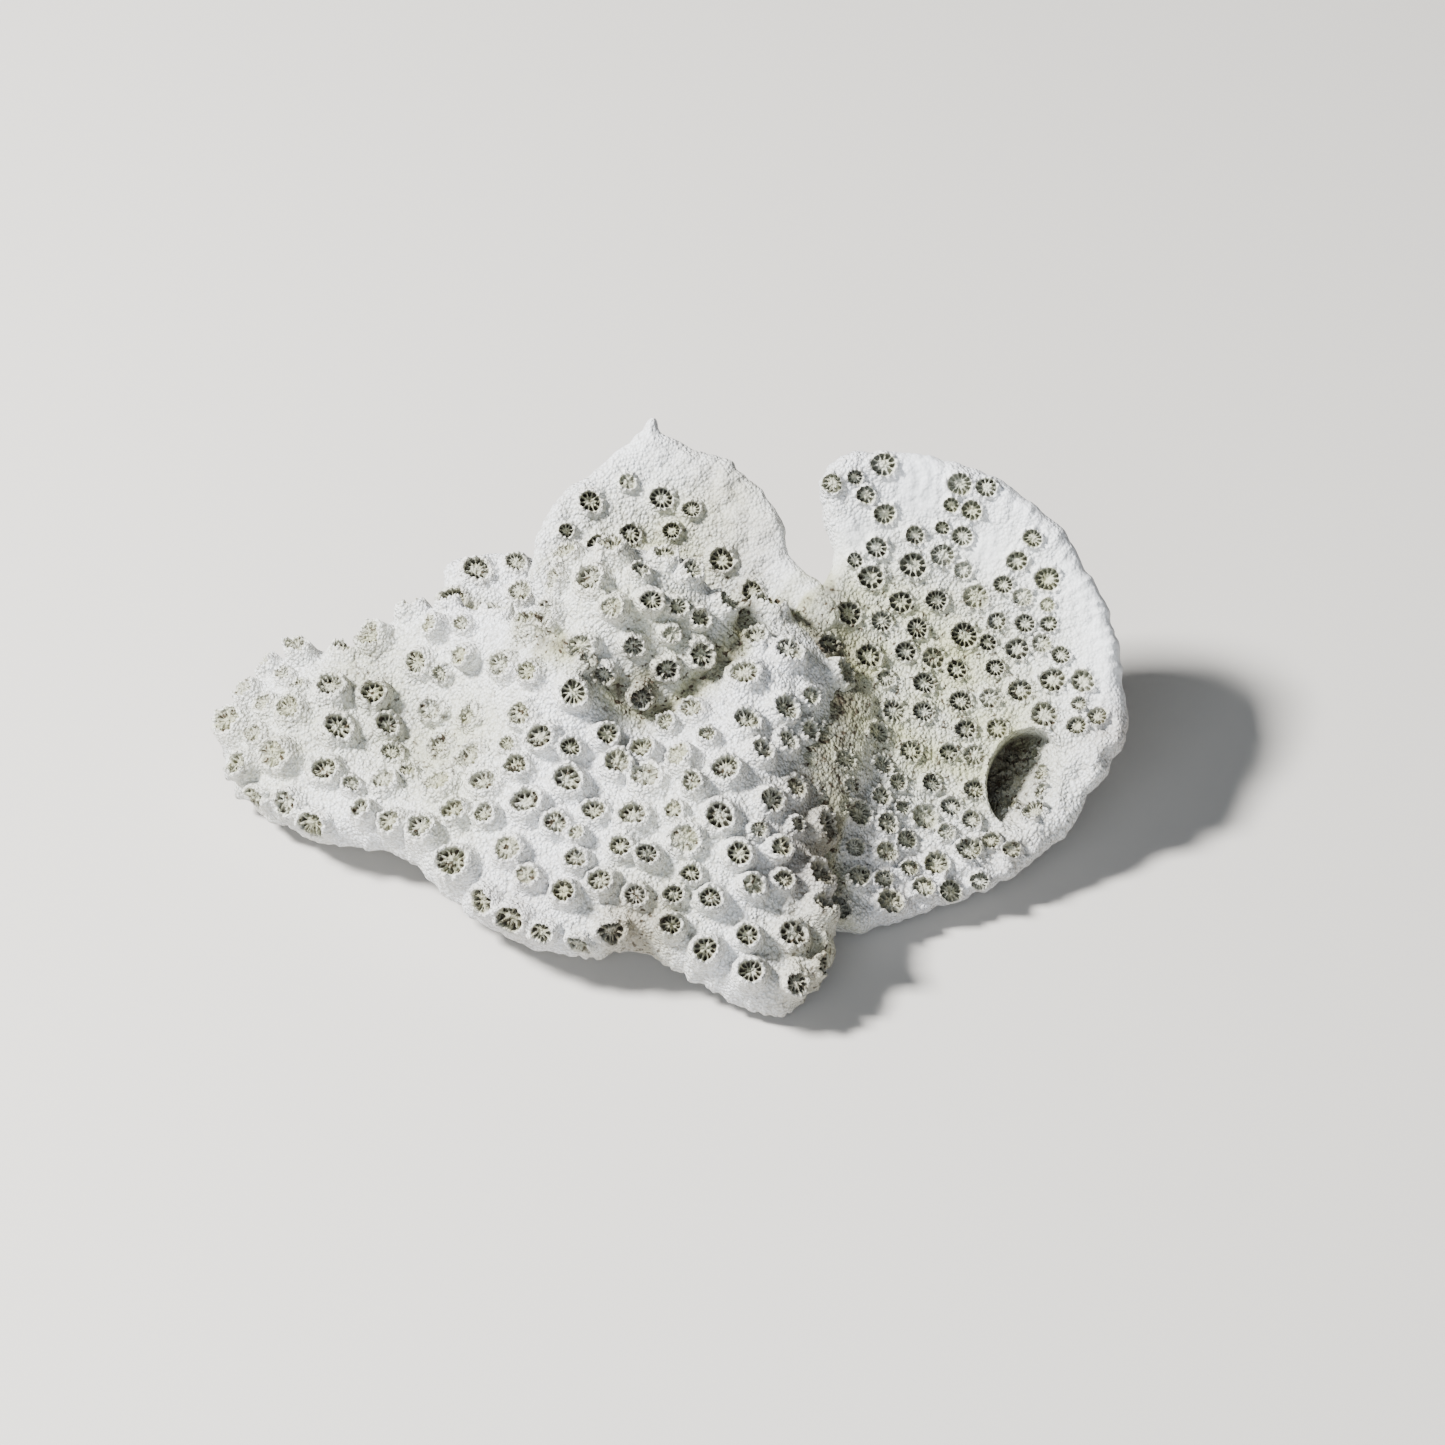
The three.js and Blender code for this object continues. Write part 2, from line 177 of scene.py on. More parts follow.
@dataclass(frozen=True)
class Pocket:
    """A hollow in a frond's upper face, steep on one side and open on the other.

    Attributes:
        at: Its middle in the frond's plane.
        radii: Half its width and half its length.
        turn: Its turn in the plane, in degrees.
        depth: Its depth.
        lip: Height of the thin wall round its steep side.
    """

    at: tuple[float, float]
    radii: tuple[float, float]
    turn: float
    depth: float
    lip: float

    RINGS = (0.9, 0.93, 0.95, 0.97, 1.0, 1.03, 1.06, 1.1)
    POINTS = 160
    TURNING = 0.7  # half the width of the change from the open side to the steep one
    SKEW = 0.5
    OPEN_FLANK = 0.3  # inner end of the flank, as a share of the radii
    STEEP_FLANK = 0.93
    OPEN_DEPTH = 0.4  # share of the depth
    RIDGE = (1.05, 0.06)  # where the lip is and how wide

    def local(self, p: Array, q: Array) -> tuple[Array, Array]:
        """Turns plane coordinates into the hollow's own, in units of its radii.

        Args:
            p: First plane coordinates.
            q: Second plane coordinates.

        Returns:
            Shares of the way out along its width and its length.
        """
        angle = math.radians(self.turn)
        dp, dq = p - self.at[0], q - self.at[1]
        across = (dp * math.cos(angle) + dq * math.sin(angle)) / self.radii[0]
        along = (dq * math.cos(angle) - dp * math.sin(angle)) / self.radii[1]
        return across, along

    def read(self, p: Array, q: Array) -> tuple[Array, Array]:
        """Reads the hollow.

        Args:
            p: First plane coordinates.
            q: Second plane coordinates.

        Returns:
            The change of height, a steep step inside the ellipse with a ridge just outside it, and
            the share of the full depth.
        """
        across, along = self.local(p, q)
        out = np.hypot(across, along)
        steep = smooth_step(self.TURNING, -self.TURNING, across - self.SKEW * along)
        open_side = smooth_step(1.0, self.OPEN_FLANK, out) * (1 - steep)
        sunk = open_side + smooth_step(1.0, self.STEEP_FLANK, out) * steep
        share = sunk * (self.OPEN_DEPTH + (1 - self.OPEN_DEPTH) * steep)
        ridge = np.exp(-(((out - self.RIDGE[0]) / self.RIDGE[1]) ** 2)) * steep
        return self.lip * ridge - self.depth * share, share

    def ring_points(self) -> Array:
        """Lays close rings of points along the hollow's rim.

        Returns:
            Rows of plane coordinates on ellipses a little inside and outside the rim.
        """
        angle = np.arange(self.POINTS) * (2 * np.pi / self.POINTS)
        reach = np.array(self.RINGS)[:, None]
        across, along = reach * np.cos(angle) * self.radii[0], reach * np.sin(angle) * self.radii[1]
        turn = math.radians(self.turn)
        p = self.at[0] + across * math.cos(turn) - along * math.sin(turn)
        q = self.at[1] + across * math.sin(turn) + along * math.cos(turn)
        return np.stack([p.ravel(), q.ravel()], axis=1)


class EdgeField:
    """Distance to a closed outline, positive inside, kept on a grid and read with bilinear weights."""

    PITCH = 0.4
    REACH = 6.0
    LAST = 1.001  # keeps the following grid line within the grid

    def __init__(self, outline: Array) -> None:
        """Measures the grid.

        Args:
            outline: Rows of plane coordinates round the outline.
        """
        self.low = outline.min(axis=0) - self.REACH
        self.shape = np.ceil((outline.max(axis=0) + self.REACH - self.low) / self.PITCH).astype(int) + 1
        rows = np.arange(self.shape[1]) * self.PITCH + self.low[1]
        columns = np.arange(self.shape[0]) * self.PITCH + self.low[0]
        a, b = outline, np.roll(outline, -1, axis=0)
        step = b - a
        grid = np.empty(self.shape)
        for n, p in enumerate(columns):
            dp, dq = p - a[:, 0], rows[:, None] - a[:, 1]
            t = np.clip((dp * step[:, 0] + dq * step[:, 1]) / (step**2).sum(axis=1), 0.0, 1.0)
            near = np.hypot(dp - t * step[:, 0], dq - t * step[:, 1]).min(axis=1)
            crosses = (a[:, 1] > rows[:, None]) != (b[:, 1] > rows[:, None])
            rise = np.where(step[:, 1] == 0, TINY, step[:, 1])
            right = p < a[:, 0] + (rows[:, None] - a[:, 1]) / rise * step[:, 0]
            inside = (crosses & right).sum(axis=1) % 2 == 1
            grid[n] = np.where(inside, near, -near)
        self.grid = grid

    def read(self, p: Array, q: Array) -> Array:
        """Reads the distance.

        Args:
            p: First plane coordinates.
            q: Second plane coordinates.

        Returns:
            Distance to the outline, positive inside. Beyond the grid it keeps the value at its edge.
        """
        x = np.clip((p - self.low[0]) / self.PITCH, 0, self.shape[0] - self.LAST)
        y = np.clip((q - self.low[1]) / self.PITCH, 0, self.shape[1] - self.LAST)
        i, j = x.astype(int), y.astype(int)
        u, v = x - i, y - j
        g = self.grid
        low = g[i, j] * (1 - u) + g[i + 1, j] * u
        high = g[i, j + 1] * (1 - u) + g[i + 1, j + 1] * u
        return low * (1 - v) + high * v


@dataclass
class CupSet:
    """The cups of one frond, as arrays with one row per cup.

    Attributes:
        centre: Plane coordinates of the cups' middles.
        axis: Unit vectors the cups face along, in the frond's own axes.
        radius: Outer radii.
        height: Heights of the rims.
        turn: Turns about the axes, in radians.
        ribs: Numbers of septa.
        aperture: Widths of the openings as shares of the cups'.
        slope: Slopes of the face under the cups, along both plane coordinates.
    """

    centre: Array
    axis: Array
    radius: Array
    height: Array
    turn: Array
    ribs: Array
    aperture: Array
    slope: Array

    INNER = (  # share of the opening's radius, points per septum
        (0.15, 0.8), (0.32, 1.5), (0.44, 2.0), (0.52, 4.0), (0.66, 4.0), (0.8, 4.0), (0.9, 4.0), (0.97, 4.0),
        (1.04, 4.0),
    )
    OUTER = ((0.16, 3.0), (0.34, 3.0), (0.54, 3.0), (0.74, 2.5), (0.94, 2.5))  # share of the way down
    FAR = 9.0  # beyond every cup, in cup radii
    WEAR_SERIES = 9
    OVAL = (0.05, 0.03)  # how far a rim is out of round, in two waves and in three
    UNEVEN = (0.16, 0.1)  # how far its height varies, in one wave and in four
    DEPTH = (0.62, 0.25)  # of an opening: share of its radius, and millimetres more
    WORN_DEPTH = 0.45  # share of the depth that a worn cup keeps
    RIM = 0.92  # outer edge of the rim, in cup radii
    COSTA = 0.26  # height of the ribs outside the rim
    SEPTUM_TOP = (0.9, 0.45)  # height at the rim, and fall as a share of the depth
    PILLAR = (0.56, 0.42)  # foot and top of the pillar's flank, in radii of the opening
    SPONGE = (0.1, 9.1, 8.3)  # height of the pillar's lumps, and how close they stand
    WALL = (0.92, 1.03)  # inner and outer end of the wall, in radii of the opening

    def kept(self, which: Array) -> "CupSet":
        """Picks the cups that are marked True."""
        return CupSet(*(rows[which] for rows in astuple(self)))

    def emptied(self) -> "CupSet":
        """Gives a set with no cups."""
        return self.kept(np.zeros(len(self.centre), bool))

    def joined(self, other: "CupSet") -> "CupSet":
        """Puts the cups of two sets together."""
        return CupSet(*(np.concatenate(pair) for pair in zip(astuple(self), astuple(other))))

    def filled(self, other: "CupSet", gap: float) -> "CupSet":
        """Adds those cups of another set that find room.

        Args:
            other: The second set.
            gap: Least distance between two rims.

        Returns:
            These cups, followed by the ones that are clear of all before them.
        """
        centre, radius = list(self.centre), list(self.radius)
        keep = np.zeros(len(other.centre), bool)
        for n, (place, size) in enumerate(zip(other.centre, other.radius)):
            if centre:
                room = np.linalg.norm(np.array(centre) - place, axis=1) - np.array(radius) - size
                if room.min() < gap:
                    continue
            keep[n] = True
            centre.append(place)
            radius.append(size)
        return self.joined(other.kept(keep))

    def apart(self, gap: float) -> "CupSet":
        """Drops each cup whose rim comes closer than a gap to an earlier one."""
        return self.emptied().filled(self, gap)

    def nearest(self, points: Array) -> tuple[Array, Array, Array]:
        """Finds the cup each point belongs to.

        Args:
            points: Rows of plane coordinates.

        Returns:
            Number of the cup, distance from its middle along the slope as a share of its radius, and
            angle round it.
        """
        owner = np.zeros(len(points), int)
        out = np.full(len(points), self.FAR)
        for n, (centre, radius, slope) in enumerate(zip(self.centre, self.radius, self.slope)):
            away = points - centre
            share = np.sqrt((away**2).sum(axis=1) + (away @ slope) ** 2) / radius
            closer = share < out
            owner[closer] = n
            out[closer] = share[closer]
        if not len(self.centre):
            return owner, out, np.zeros(len(points))
        away = points - self.centre[owner]
        return owner, out, np.arctan2(away[:, 1], away[:, 0]) - self.turn[owner]

    def ring_points(self) -> Array:
        """Lays rings of points round every cup, four to a septum where the septa are.

        Returns:
            Rows of plane coordinates.
        """
        inner = [(share * self.aperture, per_rib) for share, per_rib in self.INNER]
        start = self.INNER[-1][0] * self.aperture
        outer = [(start + share * (SKIRT - start), per_rib) for share, per_rib in self.OUTER]
        found = [self.centre]
        for share, per_rib in inner + outer:
            for ribs in np.unique(self.ribs):
                mine = self.ribs == ribs
                count = int(round(per_rib * ribs))
                angle = self.turn[mine, None] + np.arange(count) * (2 * np.pi / count)
                reach = (share * self.radius)[mine, None, None]
                ring = np.stack([np.cos(angle), np.sin(angle)], axis=2) * reach
                steep = (self.slope[mine] ** 2).sum(axis=1)[:, None, None]
                squeeze = (1 - 1 / np.sqrt(1 + steep)) / np.maximum(steep, TINY)
                downhill = self.slope[mine][:, None, :]
                ring = ring - downhill * (ring * downhill).sum(axis=2, keepdims=True) * squeeze
                found.append((self.centre[mine, None, :] + ring).reshape(-1, 2))
        return np.concatenate(found)

    def relief(self, points: Array) -> tuple[Array, Array, Array, Array]:
        """Raises the cups out of the skin.

        Going inwards, the skirt climbs to a rounded rim. Inside the rim, septa slope down to a spongy
        pillar in the middle, and the slots between them drop to the floor. A cosine of the angle
        times the number of septa tells septum from slot.

        Args:
            points: Rows of plane coordinates.

        Returns:
            Displacements in the frond's own axes, the painted shade in the slots and over the opening, the
            whiteness of the rims, and the share of the opening.
        """
        if not len(self.centre):
            zero = np.zeros(len(points))
            return np.zeros((len(points), 3)), zero, zero, zero
        owner, out, angle = self.nearest(points)
        height, radius, aperture = self.height[owner], self.radius[owner], self.aperture[owner]
        phase = 1.7 * self.turn[owner]
        first, second = self.OVAL
        out = out * (1.0 + first * np.sin(2 * angle + phase) + second * np.sin(3 * angle + 2 * phase))
        first, second = self.UNEVEN
        height = height * (1.0 + first * np.sin(angle + 3 * phase) + second * np.sin(4 * angle + phase))
        inside = out / aperture
        worn = smooth_step(0.0, 0.45, drawn(owner, self.ribs[owner], 1, self.WEAR_SERIES))
        share, more = self.DEPTH
        depth = (share * radius * aperture + more) * (self.WORN_DEPTH + (1.0 - self.WORN_DEPTH) * worn)
        wave = np.cos(self.ribs[owner] * angle)
        climb = smooth_step(SKIRT, self.RIM, out)
        crest = height * (climb - 0.12 * np.clip((1.2 - inside) / 0.25, 0.0, 1.0) ** 2)
        costa = self.COSTA * wave * smooth_step(SKIRT, 1.05, out) * smooth_step(self.WALL[0], 1.05, inside)
        high, fall = self.SEPTUM_TOP
        septum_top = high * height - fall * depth * np.clip((1.0 - inside) / 0.6, 0.0, 1.0)
        narrow = 0.9 * smooth_step(0.62, 0.42, inside) - 0.25 * smooth_step(0.6, 0.85, inside)
        septum = smooth_step(-0.15, 0.5, wave + narrow)
        floor = height - depth - 0.35 * worn
        lump, close_p, close_q = self.SPONGE
        sponge = lump * np.sin(close_p * points[:, 0] + 3 * angle) * np.cos(close_q * points[:, 1])
        spongy = septum_top - 0.1 * depth + sponge
        inner = floor + (septum_top - floor) * septum
        pillar = smooth_step(*self.PILLAR, inside)
        inner = inner * (1 - pillar) + spongy * pillar
        wall = smooth_step(*self.WALL, inside)
        rise = np.where(out < SKIRT, (crest + costa) * wall + inner * (1 - wall), 0.0)
        # Painted shade: dark in the slots between the septa, darker in deeper cups, and a little over the
        # whole opening.
        slots = (1 - septum) * (1 - pillar) * (0.4 + 0.6 * worn)
        shade = (1 - wall) * (slots + 0.2 * smooth_step(1.0, 0.6, inside))
        rim = smooth_step(0.85, 1.0, inside) * smooth_step(1.4, 1.0, out)
        mouth = smooth_step(1.2, 0.95, inside)
        return rise[:, None] * self.axis[owner], shade, rim, mouth


@dataclass
class Frond:
    """One leaf of the coral: a tilted, dished plate with a rounded edge and cups on its upper face.

    Attributes:
        name: Name of the solid it stands for.
        origin: Its plane's origin, in millimetres.
        rise: How far its back is lifted, in degrees.
        thickness: Thickness of the plate.
        outline: Corners of its outline, clockwise in its plane.
        bend: Dishing across and along, per millimetre, and the two coordinates it starts from.
        swells: Soft mounds of the whole plate.
        keels: Thickenings of its underside.
        plan: Layout of its cups.
        stains: Where olive dirt clings to it.
        grime_and_shade: Where dark dirt clings to it, and where dark paint stands for the shade in valleys
            and creases.
        browns: Patches of brown stain.
        spiny: Height of the spines on its cups' rims.
        clean: How much less dirt and painted shade its cups hold away from the stain.
        tall: Places where the cups are taller, by a share of their height.
        pockets: Hollows in its upper face.
        bare: Where no cups grow.
        rough: Where it is broken and rocky.
        ragged: How far its edge is frayed.
        cups_on_edge: Whether cups hang over its edge.
        polish: How smooth the skin is where no cups grow, as a share.
        edge_drop: How far the edge lies below the middle surface, as a share of half the thickness.
    """

    name: str
    origin: tuple[float, float, float]
    rise: float
    thickness: float
    outline: tuple[tuple[float, float], ...]
    bend: tuple[float, float, float, float]
    swells: tuple[Bell, ...]
    keels: tuple[Bell, ...]
    plan: CupPlan
    stains: tuple[Bell, ...] = ()
    grime_and_shade: tuple[Bell, ...] = ()
    browns: tuple[Bell, ...] = ()
    spiny: float = 0.3
    clean: float = 0.0
    tall: tuple[Bell, ...] = ()
    pockets: tuple[Pocket, ...] = ()
    bare: tuple[Bell, ...] = ()
    rough: tuple[Bell, ...] = ()
    ragged: float = 0.5
    cups_on_edge: bool = False
    polish: float = 1.0
    edge_drop: float = 0.0
    edge: Array = field(init=False, repr=False)
    edge_field: EdgeField = field(init=False, repr=False)

    CURVE_STEPS = 40
    MOST_LEAN = 0.8
    BARE_LEVEL = 0.5
    HANGING = 0.4  # share of a cup's radius that stays inside the edge
    EDGE_STEP = 0.36
    FRAY = ((0.65, 1.7, 0), (0.35, 0.75, 50))  # share, size and series
    INSETS = (0.07, 0.22, 0.5, 0.9, 1.4)
    INSET_SPAN = (0.6, 1.4)  # how true a row along the edge stays, as shares of its inset
    RING_INSET = 0.3
    SPACING = {Face.TOP: 0.46, Face.UNDER: 0.9}
    SKIN_JITTER = 0.5  # share of the spacing
    WALL_ROOM = {"cups": 0.3, "skin": 0.12}  # clear of a pocket's wall, as a share of its radii
    RADII = (0.8, 0.4)  # least share of the mean, and spread
    HEIGHTS = (0.7, 0.6)
    RIBS = (9, 4.99)  # fewest septa, and spread
    EDGE_CUP_STEP = 0.85  # share of a cup's width
    EDGE_CUP_INSET = (0.7, 2.2)  # least, and spread
    EDGE_CROWDING = 0.4  # how much closer the cups of the edge may stand
    YOUNG = {"spacing": 0.62, "diameter": 0.78, "height": 0.75}  # shares of the grown cups' values
    YOUNG_ROOM = 0.5
    YOUNG_SERIES = 10

    def __post_init__(self) -> None:
        """Frays the outline and measures distances to it."""
        smooth = self.curve(self.EDGE_STEP)
        flat = np.column_stack([smooth, np.zeros(len(smooth))])
        seed = self.plan.seed
        fray = sum(share * grain(flat, size, seed + series) for share, size, series in self.FRAY)
        self.edge = smooth - inward_normals(smooth, 1) * (self.ragged * fray)[:, None]
        self.edge_field = EdgeField(self.edge)

    def curve(self, step: float) -> Array:
        """Rounds the outline's corners.

        Args:
            step: Spacing of the points that are returned.

        Returns:
            Rows of plane coordinates at even spacing on a closed curve through the corners: cubic pieces,
            whose direction at a corner is half the way from the corner before to the one after.
        """
        corner = np.array(self.outline, float)
        before, after, second = (np.roll(corner, shift, axis=0) for shift in (1, -1, -2))
        t = (np.arange(self.CURVE_STEPS) / self.CURVE_STEPS)[None, :, None]
        tangent, next_tangent = (after - before) / 2, (second - corner) / 2
        dense = (
            (2 * t**3 - 3 * t**2 + 1) * corner[:, None]
            + (t**3 - 2 * t**2 + t) * tangent[:, None]
            + (3 * t**2 - 2 * t**3) * after[:, None]
            + (t**3 - t**2) * next_tangent[:, None]
        ).reshape(-1, 2)
        closed = np.vstack([dense, dense[:1]])
        length = np.concatenate([[0.0], np.cumsum(np.linalg.norm(np.diff(closed, axis=0), axis=1))])
        count = int(round(length[-1] / step))
        at = np.arange(count) * (length[-1] / count)
        return np.stack([np.interp(at, length, column) for column in closed.T], axis=1)

    def turned(self) -> Array:
        """Gives the frond's own axes as the columns of a matrix: the shared frame, turned by rise about X."""
        c, s = math.cos(math.radians(self.rise)), math.sin(math.radians(self.rise))
        return np.array([[1, 0, 0], [0, c, -s], [0, s, c]])

    def placed(self, local: Array) -> Array:
        """Moves rows of points from the frond's own axes to the shared frame."""
        return local @ self.turned().T + np.array(self.origin)

    def own(self, points: Array) -> Array:
        """Moves rows of points from the shared frame to the frond's own axes."""
        return (points - np.array(self.origin)) @ self.turned()

    def middle(self, p: Array, q: Array) -> Array:
        """Gives the middle surface's height: a dish, squared in both coordinates, plus the soft mounds."""
        across, along, from_p, from_q = self.bend
        return across * (p - from_p) ** 2 + along * (q - from_q) ** 2 + heaped(self.swells, p, q)

    def height(self, p: Array, q: Array, face: Face) -> Array:
        """Gives the height of a face over the plane.

        Args:
            p: First plane coordinates.
            q: Second plane coordinates.
            face: Which face.

        Returns:
            The middle surface plus or minus half the thickness, rounded off along a quarter ellipse to
            the level of the edge. The underside also hangs down by its keels.
        """
        inward = np.clip(self.edge_field.read(p, q) / EDGE_ROUNDING, 0.0, 1.0)
        round_off = np.sqrt(1.0 - (1.0 - inward) ** 2)
        half = self.thickness / 2
        level = self.middle(p, q) - half * self.edge_drop
        if face is Face.TOP:
            level = level + half * (1 + self.edge_drop) * round_off
            return level + sum(pocket.read(p, q)[0] for pocket in self.pockets)
        return level - (half * (1 - self.edge_drop) + heaped(self.keels, p, q)) * round_off

    def outside(self, points: Array) -> Array:
        """Measures how far points are outside the plate.

        Args:
            points: Rows of three coordinates in the shared frame.

        Returns:
            The largest of the distances past its top, its underside and its edge; negative inside.
        """
        p, q, z = self.own(points).T
        beyond = -self.edge_field.read(p, q)
        above = z - self.height(p, q, Face.TOP)
        below = self.height(p, q, Face.UNDER) - z
        return np.maximum(np.maximum(above, below), beyond)

    def lattice(self, spacing: float) -> tuple[Array, Array, Array]:
        """Lays a hexagonal lattice over the outline.

        Args:
            spacing: Spacing of its points.

        Returns:
            The two lattice indices, and rows of plane coordinates.
        """
        far = np.linalg.norm(self.edge, axis=1).max()
        steps = math.ceil(far / (spacing * ROW_STEP)) + 1
        j, i = [m.ravel() for m in np.mgrid[-steps : steps + 1, -steps : steps + 1]]
        return i, j, np.stack([spacing * (i + 0.5 * (np.abs(j) % 2)), spacing * ROW_STEP * j], axis=1)

    def cups_at(self, place: Array, i: Array, j: Array) -> CupSet:
        """Grows cups at chosen places, with sizes drawn for their lattice indices.

        Args:
            place: Rows of plane coordinates.
            i: First lattice indices.
            j: Second lattice indices.

        Returns:
            One cup per place, facing along the upper face's normal.
        """
        plan = self.plan
        p, q = place.T
        lean_p = self.height(p - 0.5, q, Face.TOP) - self.height(p + 0.5, q, Face.TOP)
        lean_q = self.height(p, q - 0.5, Face.TOP) - self.height(p, q + 0.5, Face.TOP)
        ease = self.MOST_LEAN / np.maximum(np.hypot(lean_p, lean_q), self.MOST_LEAN)
        axis = np.stack([lean_p * ease, lean_q * ease, np.ones_like(p)], axis=1)
        axis /= np.linalg.norm(axis, axis=1, keepdims=True)
        taller = 1.0 + heaped(self.tall, p, q)
        draw = [drawn(i, j, k, plan.seed) for k in (4, 5, 6, 7)]
        return CupSet(
            centre=place,
            axis=axis,
            radius=plan.diameter / 2 * (self.RADII[0] + self.RADII[1] * draw[0]),
            height=plan.height * (self.HEIGHTS[0] + self.HEIGHTS[1] * draw[1]) * taller,
            turn=2 * np.pi * draw[2],
            ribs=self.RIBS[0] + np.floor(self.RIBS[1] * draw[3]).astype(int),
            aperture=np.full(len(place), plan.aperture),
            slope=np.stack([lean_p, lean_q], axis=1),
        )

    def may_grow(self, cups: CupSet) -> Array:
        """Tells which cups have room: off the bare places, the pockets' walls and the edge.

        Args:
            cups: The cups.

        Returns:
            True for each cup that has room.
        """
        p, q = cups.centre.T
        free = heaped(self.bare, p, q) < self.BARE_LEVEL
        for pocket in self.pockets:
            free &= np.abs(np.hypot(*pocket.local(p, q)) - 1.0) > self.WALL_ROOM["cups"]
        least = np.maximum(self.plan.margin, self.HANGING * cups.radius)
        return free & (self.edge_field.read(p, q) >= least)

    def cups(self) -> CupSet:
        """Places the cups on a jittered lattice, as on the solids.

        Returns:
            All cups that have room.
        """
        plan = self.plan
        i, j, place = self.lattice(plan.spacing)
        stray = np.stack([drawn(i, j, 1, plan.seed), drawn(i, j, 2, plan.seed)], axis=1) - 0.5
        cups = self.cups_at(place + plan.spacing * CUP_JITTER * stray, i, j)
        return cups.kept(self.may_grow(cups))

    def edge_cups(self) -> CupSet:
        """Places a row of cups along the edge, where they hang over it.

        Returns:
            Cups at uneven steps along the outline, a little inside it.
        """
        seed = self.plan.seed
        step = max(1, int(round(self.plan.diameter * self.EDGE_CUP_STEP / self.EDGE_STEP)))
        n = np.arange(0, len(self.edge) - step, step)
        n = n + np.floor(step * drawn(n, 0 * n, 8, seed)).astype(int)
        least, spread = self.EDGE_CUP_INSET
        inset = least + spread * drawn(n, 0 * n, 5, seed)
        inward = inward_normals(self.edge, 4)
        cups = self.cups_at(self.edge[n] + inward[n] * inset[:, None], n, 0 * n)
        return cups.kept(self.may_grow(cups)).apart(self.plan.room - self.EDGE_CROWDING)

    def all_cups(self) -> CupSet:
        """Gathers the frond's cups: a row along the edge, the lattice, and young ones between.

        Returns:
            Cups that keep clear of one another.
        """
        cups = self.edge_cups()
        if not self.cups_on_edge:
            cups = cups.emptied()
        cups = cups.filled(self.cups(), self.plan.room)
        scaled = {name: share * getattr(self.plan, name) for name, share in self.YOUNG.items()}
        plan = replace(self.plan, seed=self.plan.seed + self.YOUNG_SERIES, **scaled)
        return cups.filled(replace(self, plan=plan).cups(), self.YOUNG_ROOM * self.plan.room)

    def face_points(self, face: Face, cups: CupSet) -> Array:
        """Chooses where the face's vertices go: rows along the edge, rings round cups, a lattice between.

        Args:
            face: Which face.
            cups: The cups it carries.

        Returns:
            Rows of plane coordinates, the outline first.
        """
        inward = inward_normals(self.edge, 1)
        least, most = self.INSET_SPAN
        found = [self.edge]
        for inset in self.INSETS:
            row = self.edge + inward * inset
            distance = self.edge_field.read(*row.T)
            found.append(row[(distance > least * inset) & (distance < most * inset)])
        if len(cups.centre):
            rings = cups.ring_points()
            found.append(rings[self.edge_field.read(*rings.T) > self.RING_INSET])
        if face is Face.TOP:
            found.extend(pocket.ring_points() for pocket in self.pockets)
        spacing = self.SPACING[face]
        i, j, place = self.lattice(spacing)
        stray = np.stack([drawn(i, j, 8, 3), drawn(i, j, 9, 3)], axis=1) - 0.5
        place = place + self.SKIN_JITTER * spacing * stray
        free = self.edge_field.read(*place.T) > self.INSETS[-1] + 0.3 * spacing
        for pocket in self.pockets:
            free &= np.abs(np.hypot(*pocket.local(*place.T)) - 1.0) > self.WALL_ROOM["skin"]
        place = place[free]
        found.append(place[cups.nearest(place)[1] > SKIRT])
        return np.concatenate(found)

    def triangles(self, points: Array) -> tuple[Array, Array]:
        """Joins points into well-shaped triangles that fill the outline.

        Args:
            points: Rows of plane coordinates, the outline first.

        Returns:
            The points in order, without doubles, and rows of three of their numbers.
        """
        count = len(self.edge)
        loop = [(n, (n + 1) % count) for n in range(count)]
        corners, _, faces, origins, _, _ = delaunay_2d_cdt(
            [Vector(point) for point in points.tolist()], loop, [], 1, 1e-5
        )
        first = np.array([origin[0] if origin else len(points) for origin in origins])
        order = np.argsort(first, kind="stable")
        rank = np.empty_like(order)
        rank[order] = np.arange(len(order))
        return np.array([corner.to_tuple() for corner in corners])[order], rank[np.array(faces)]


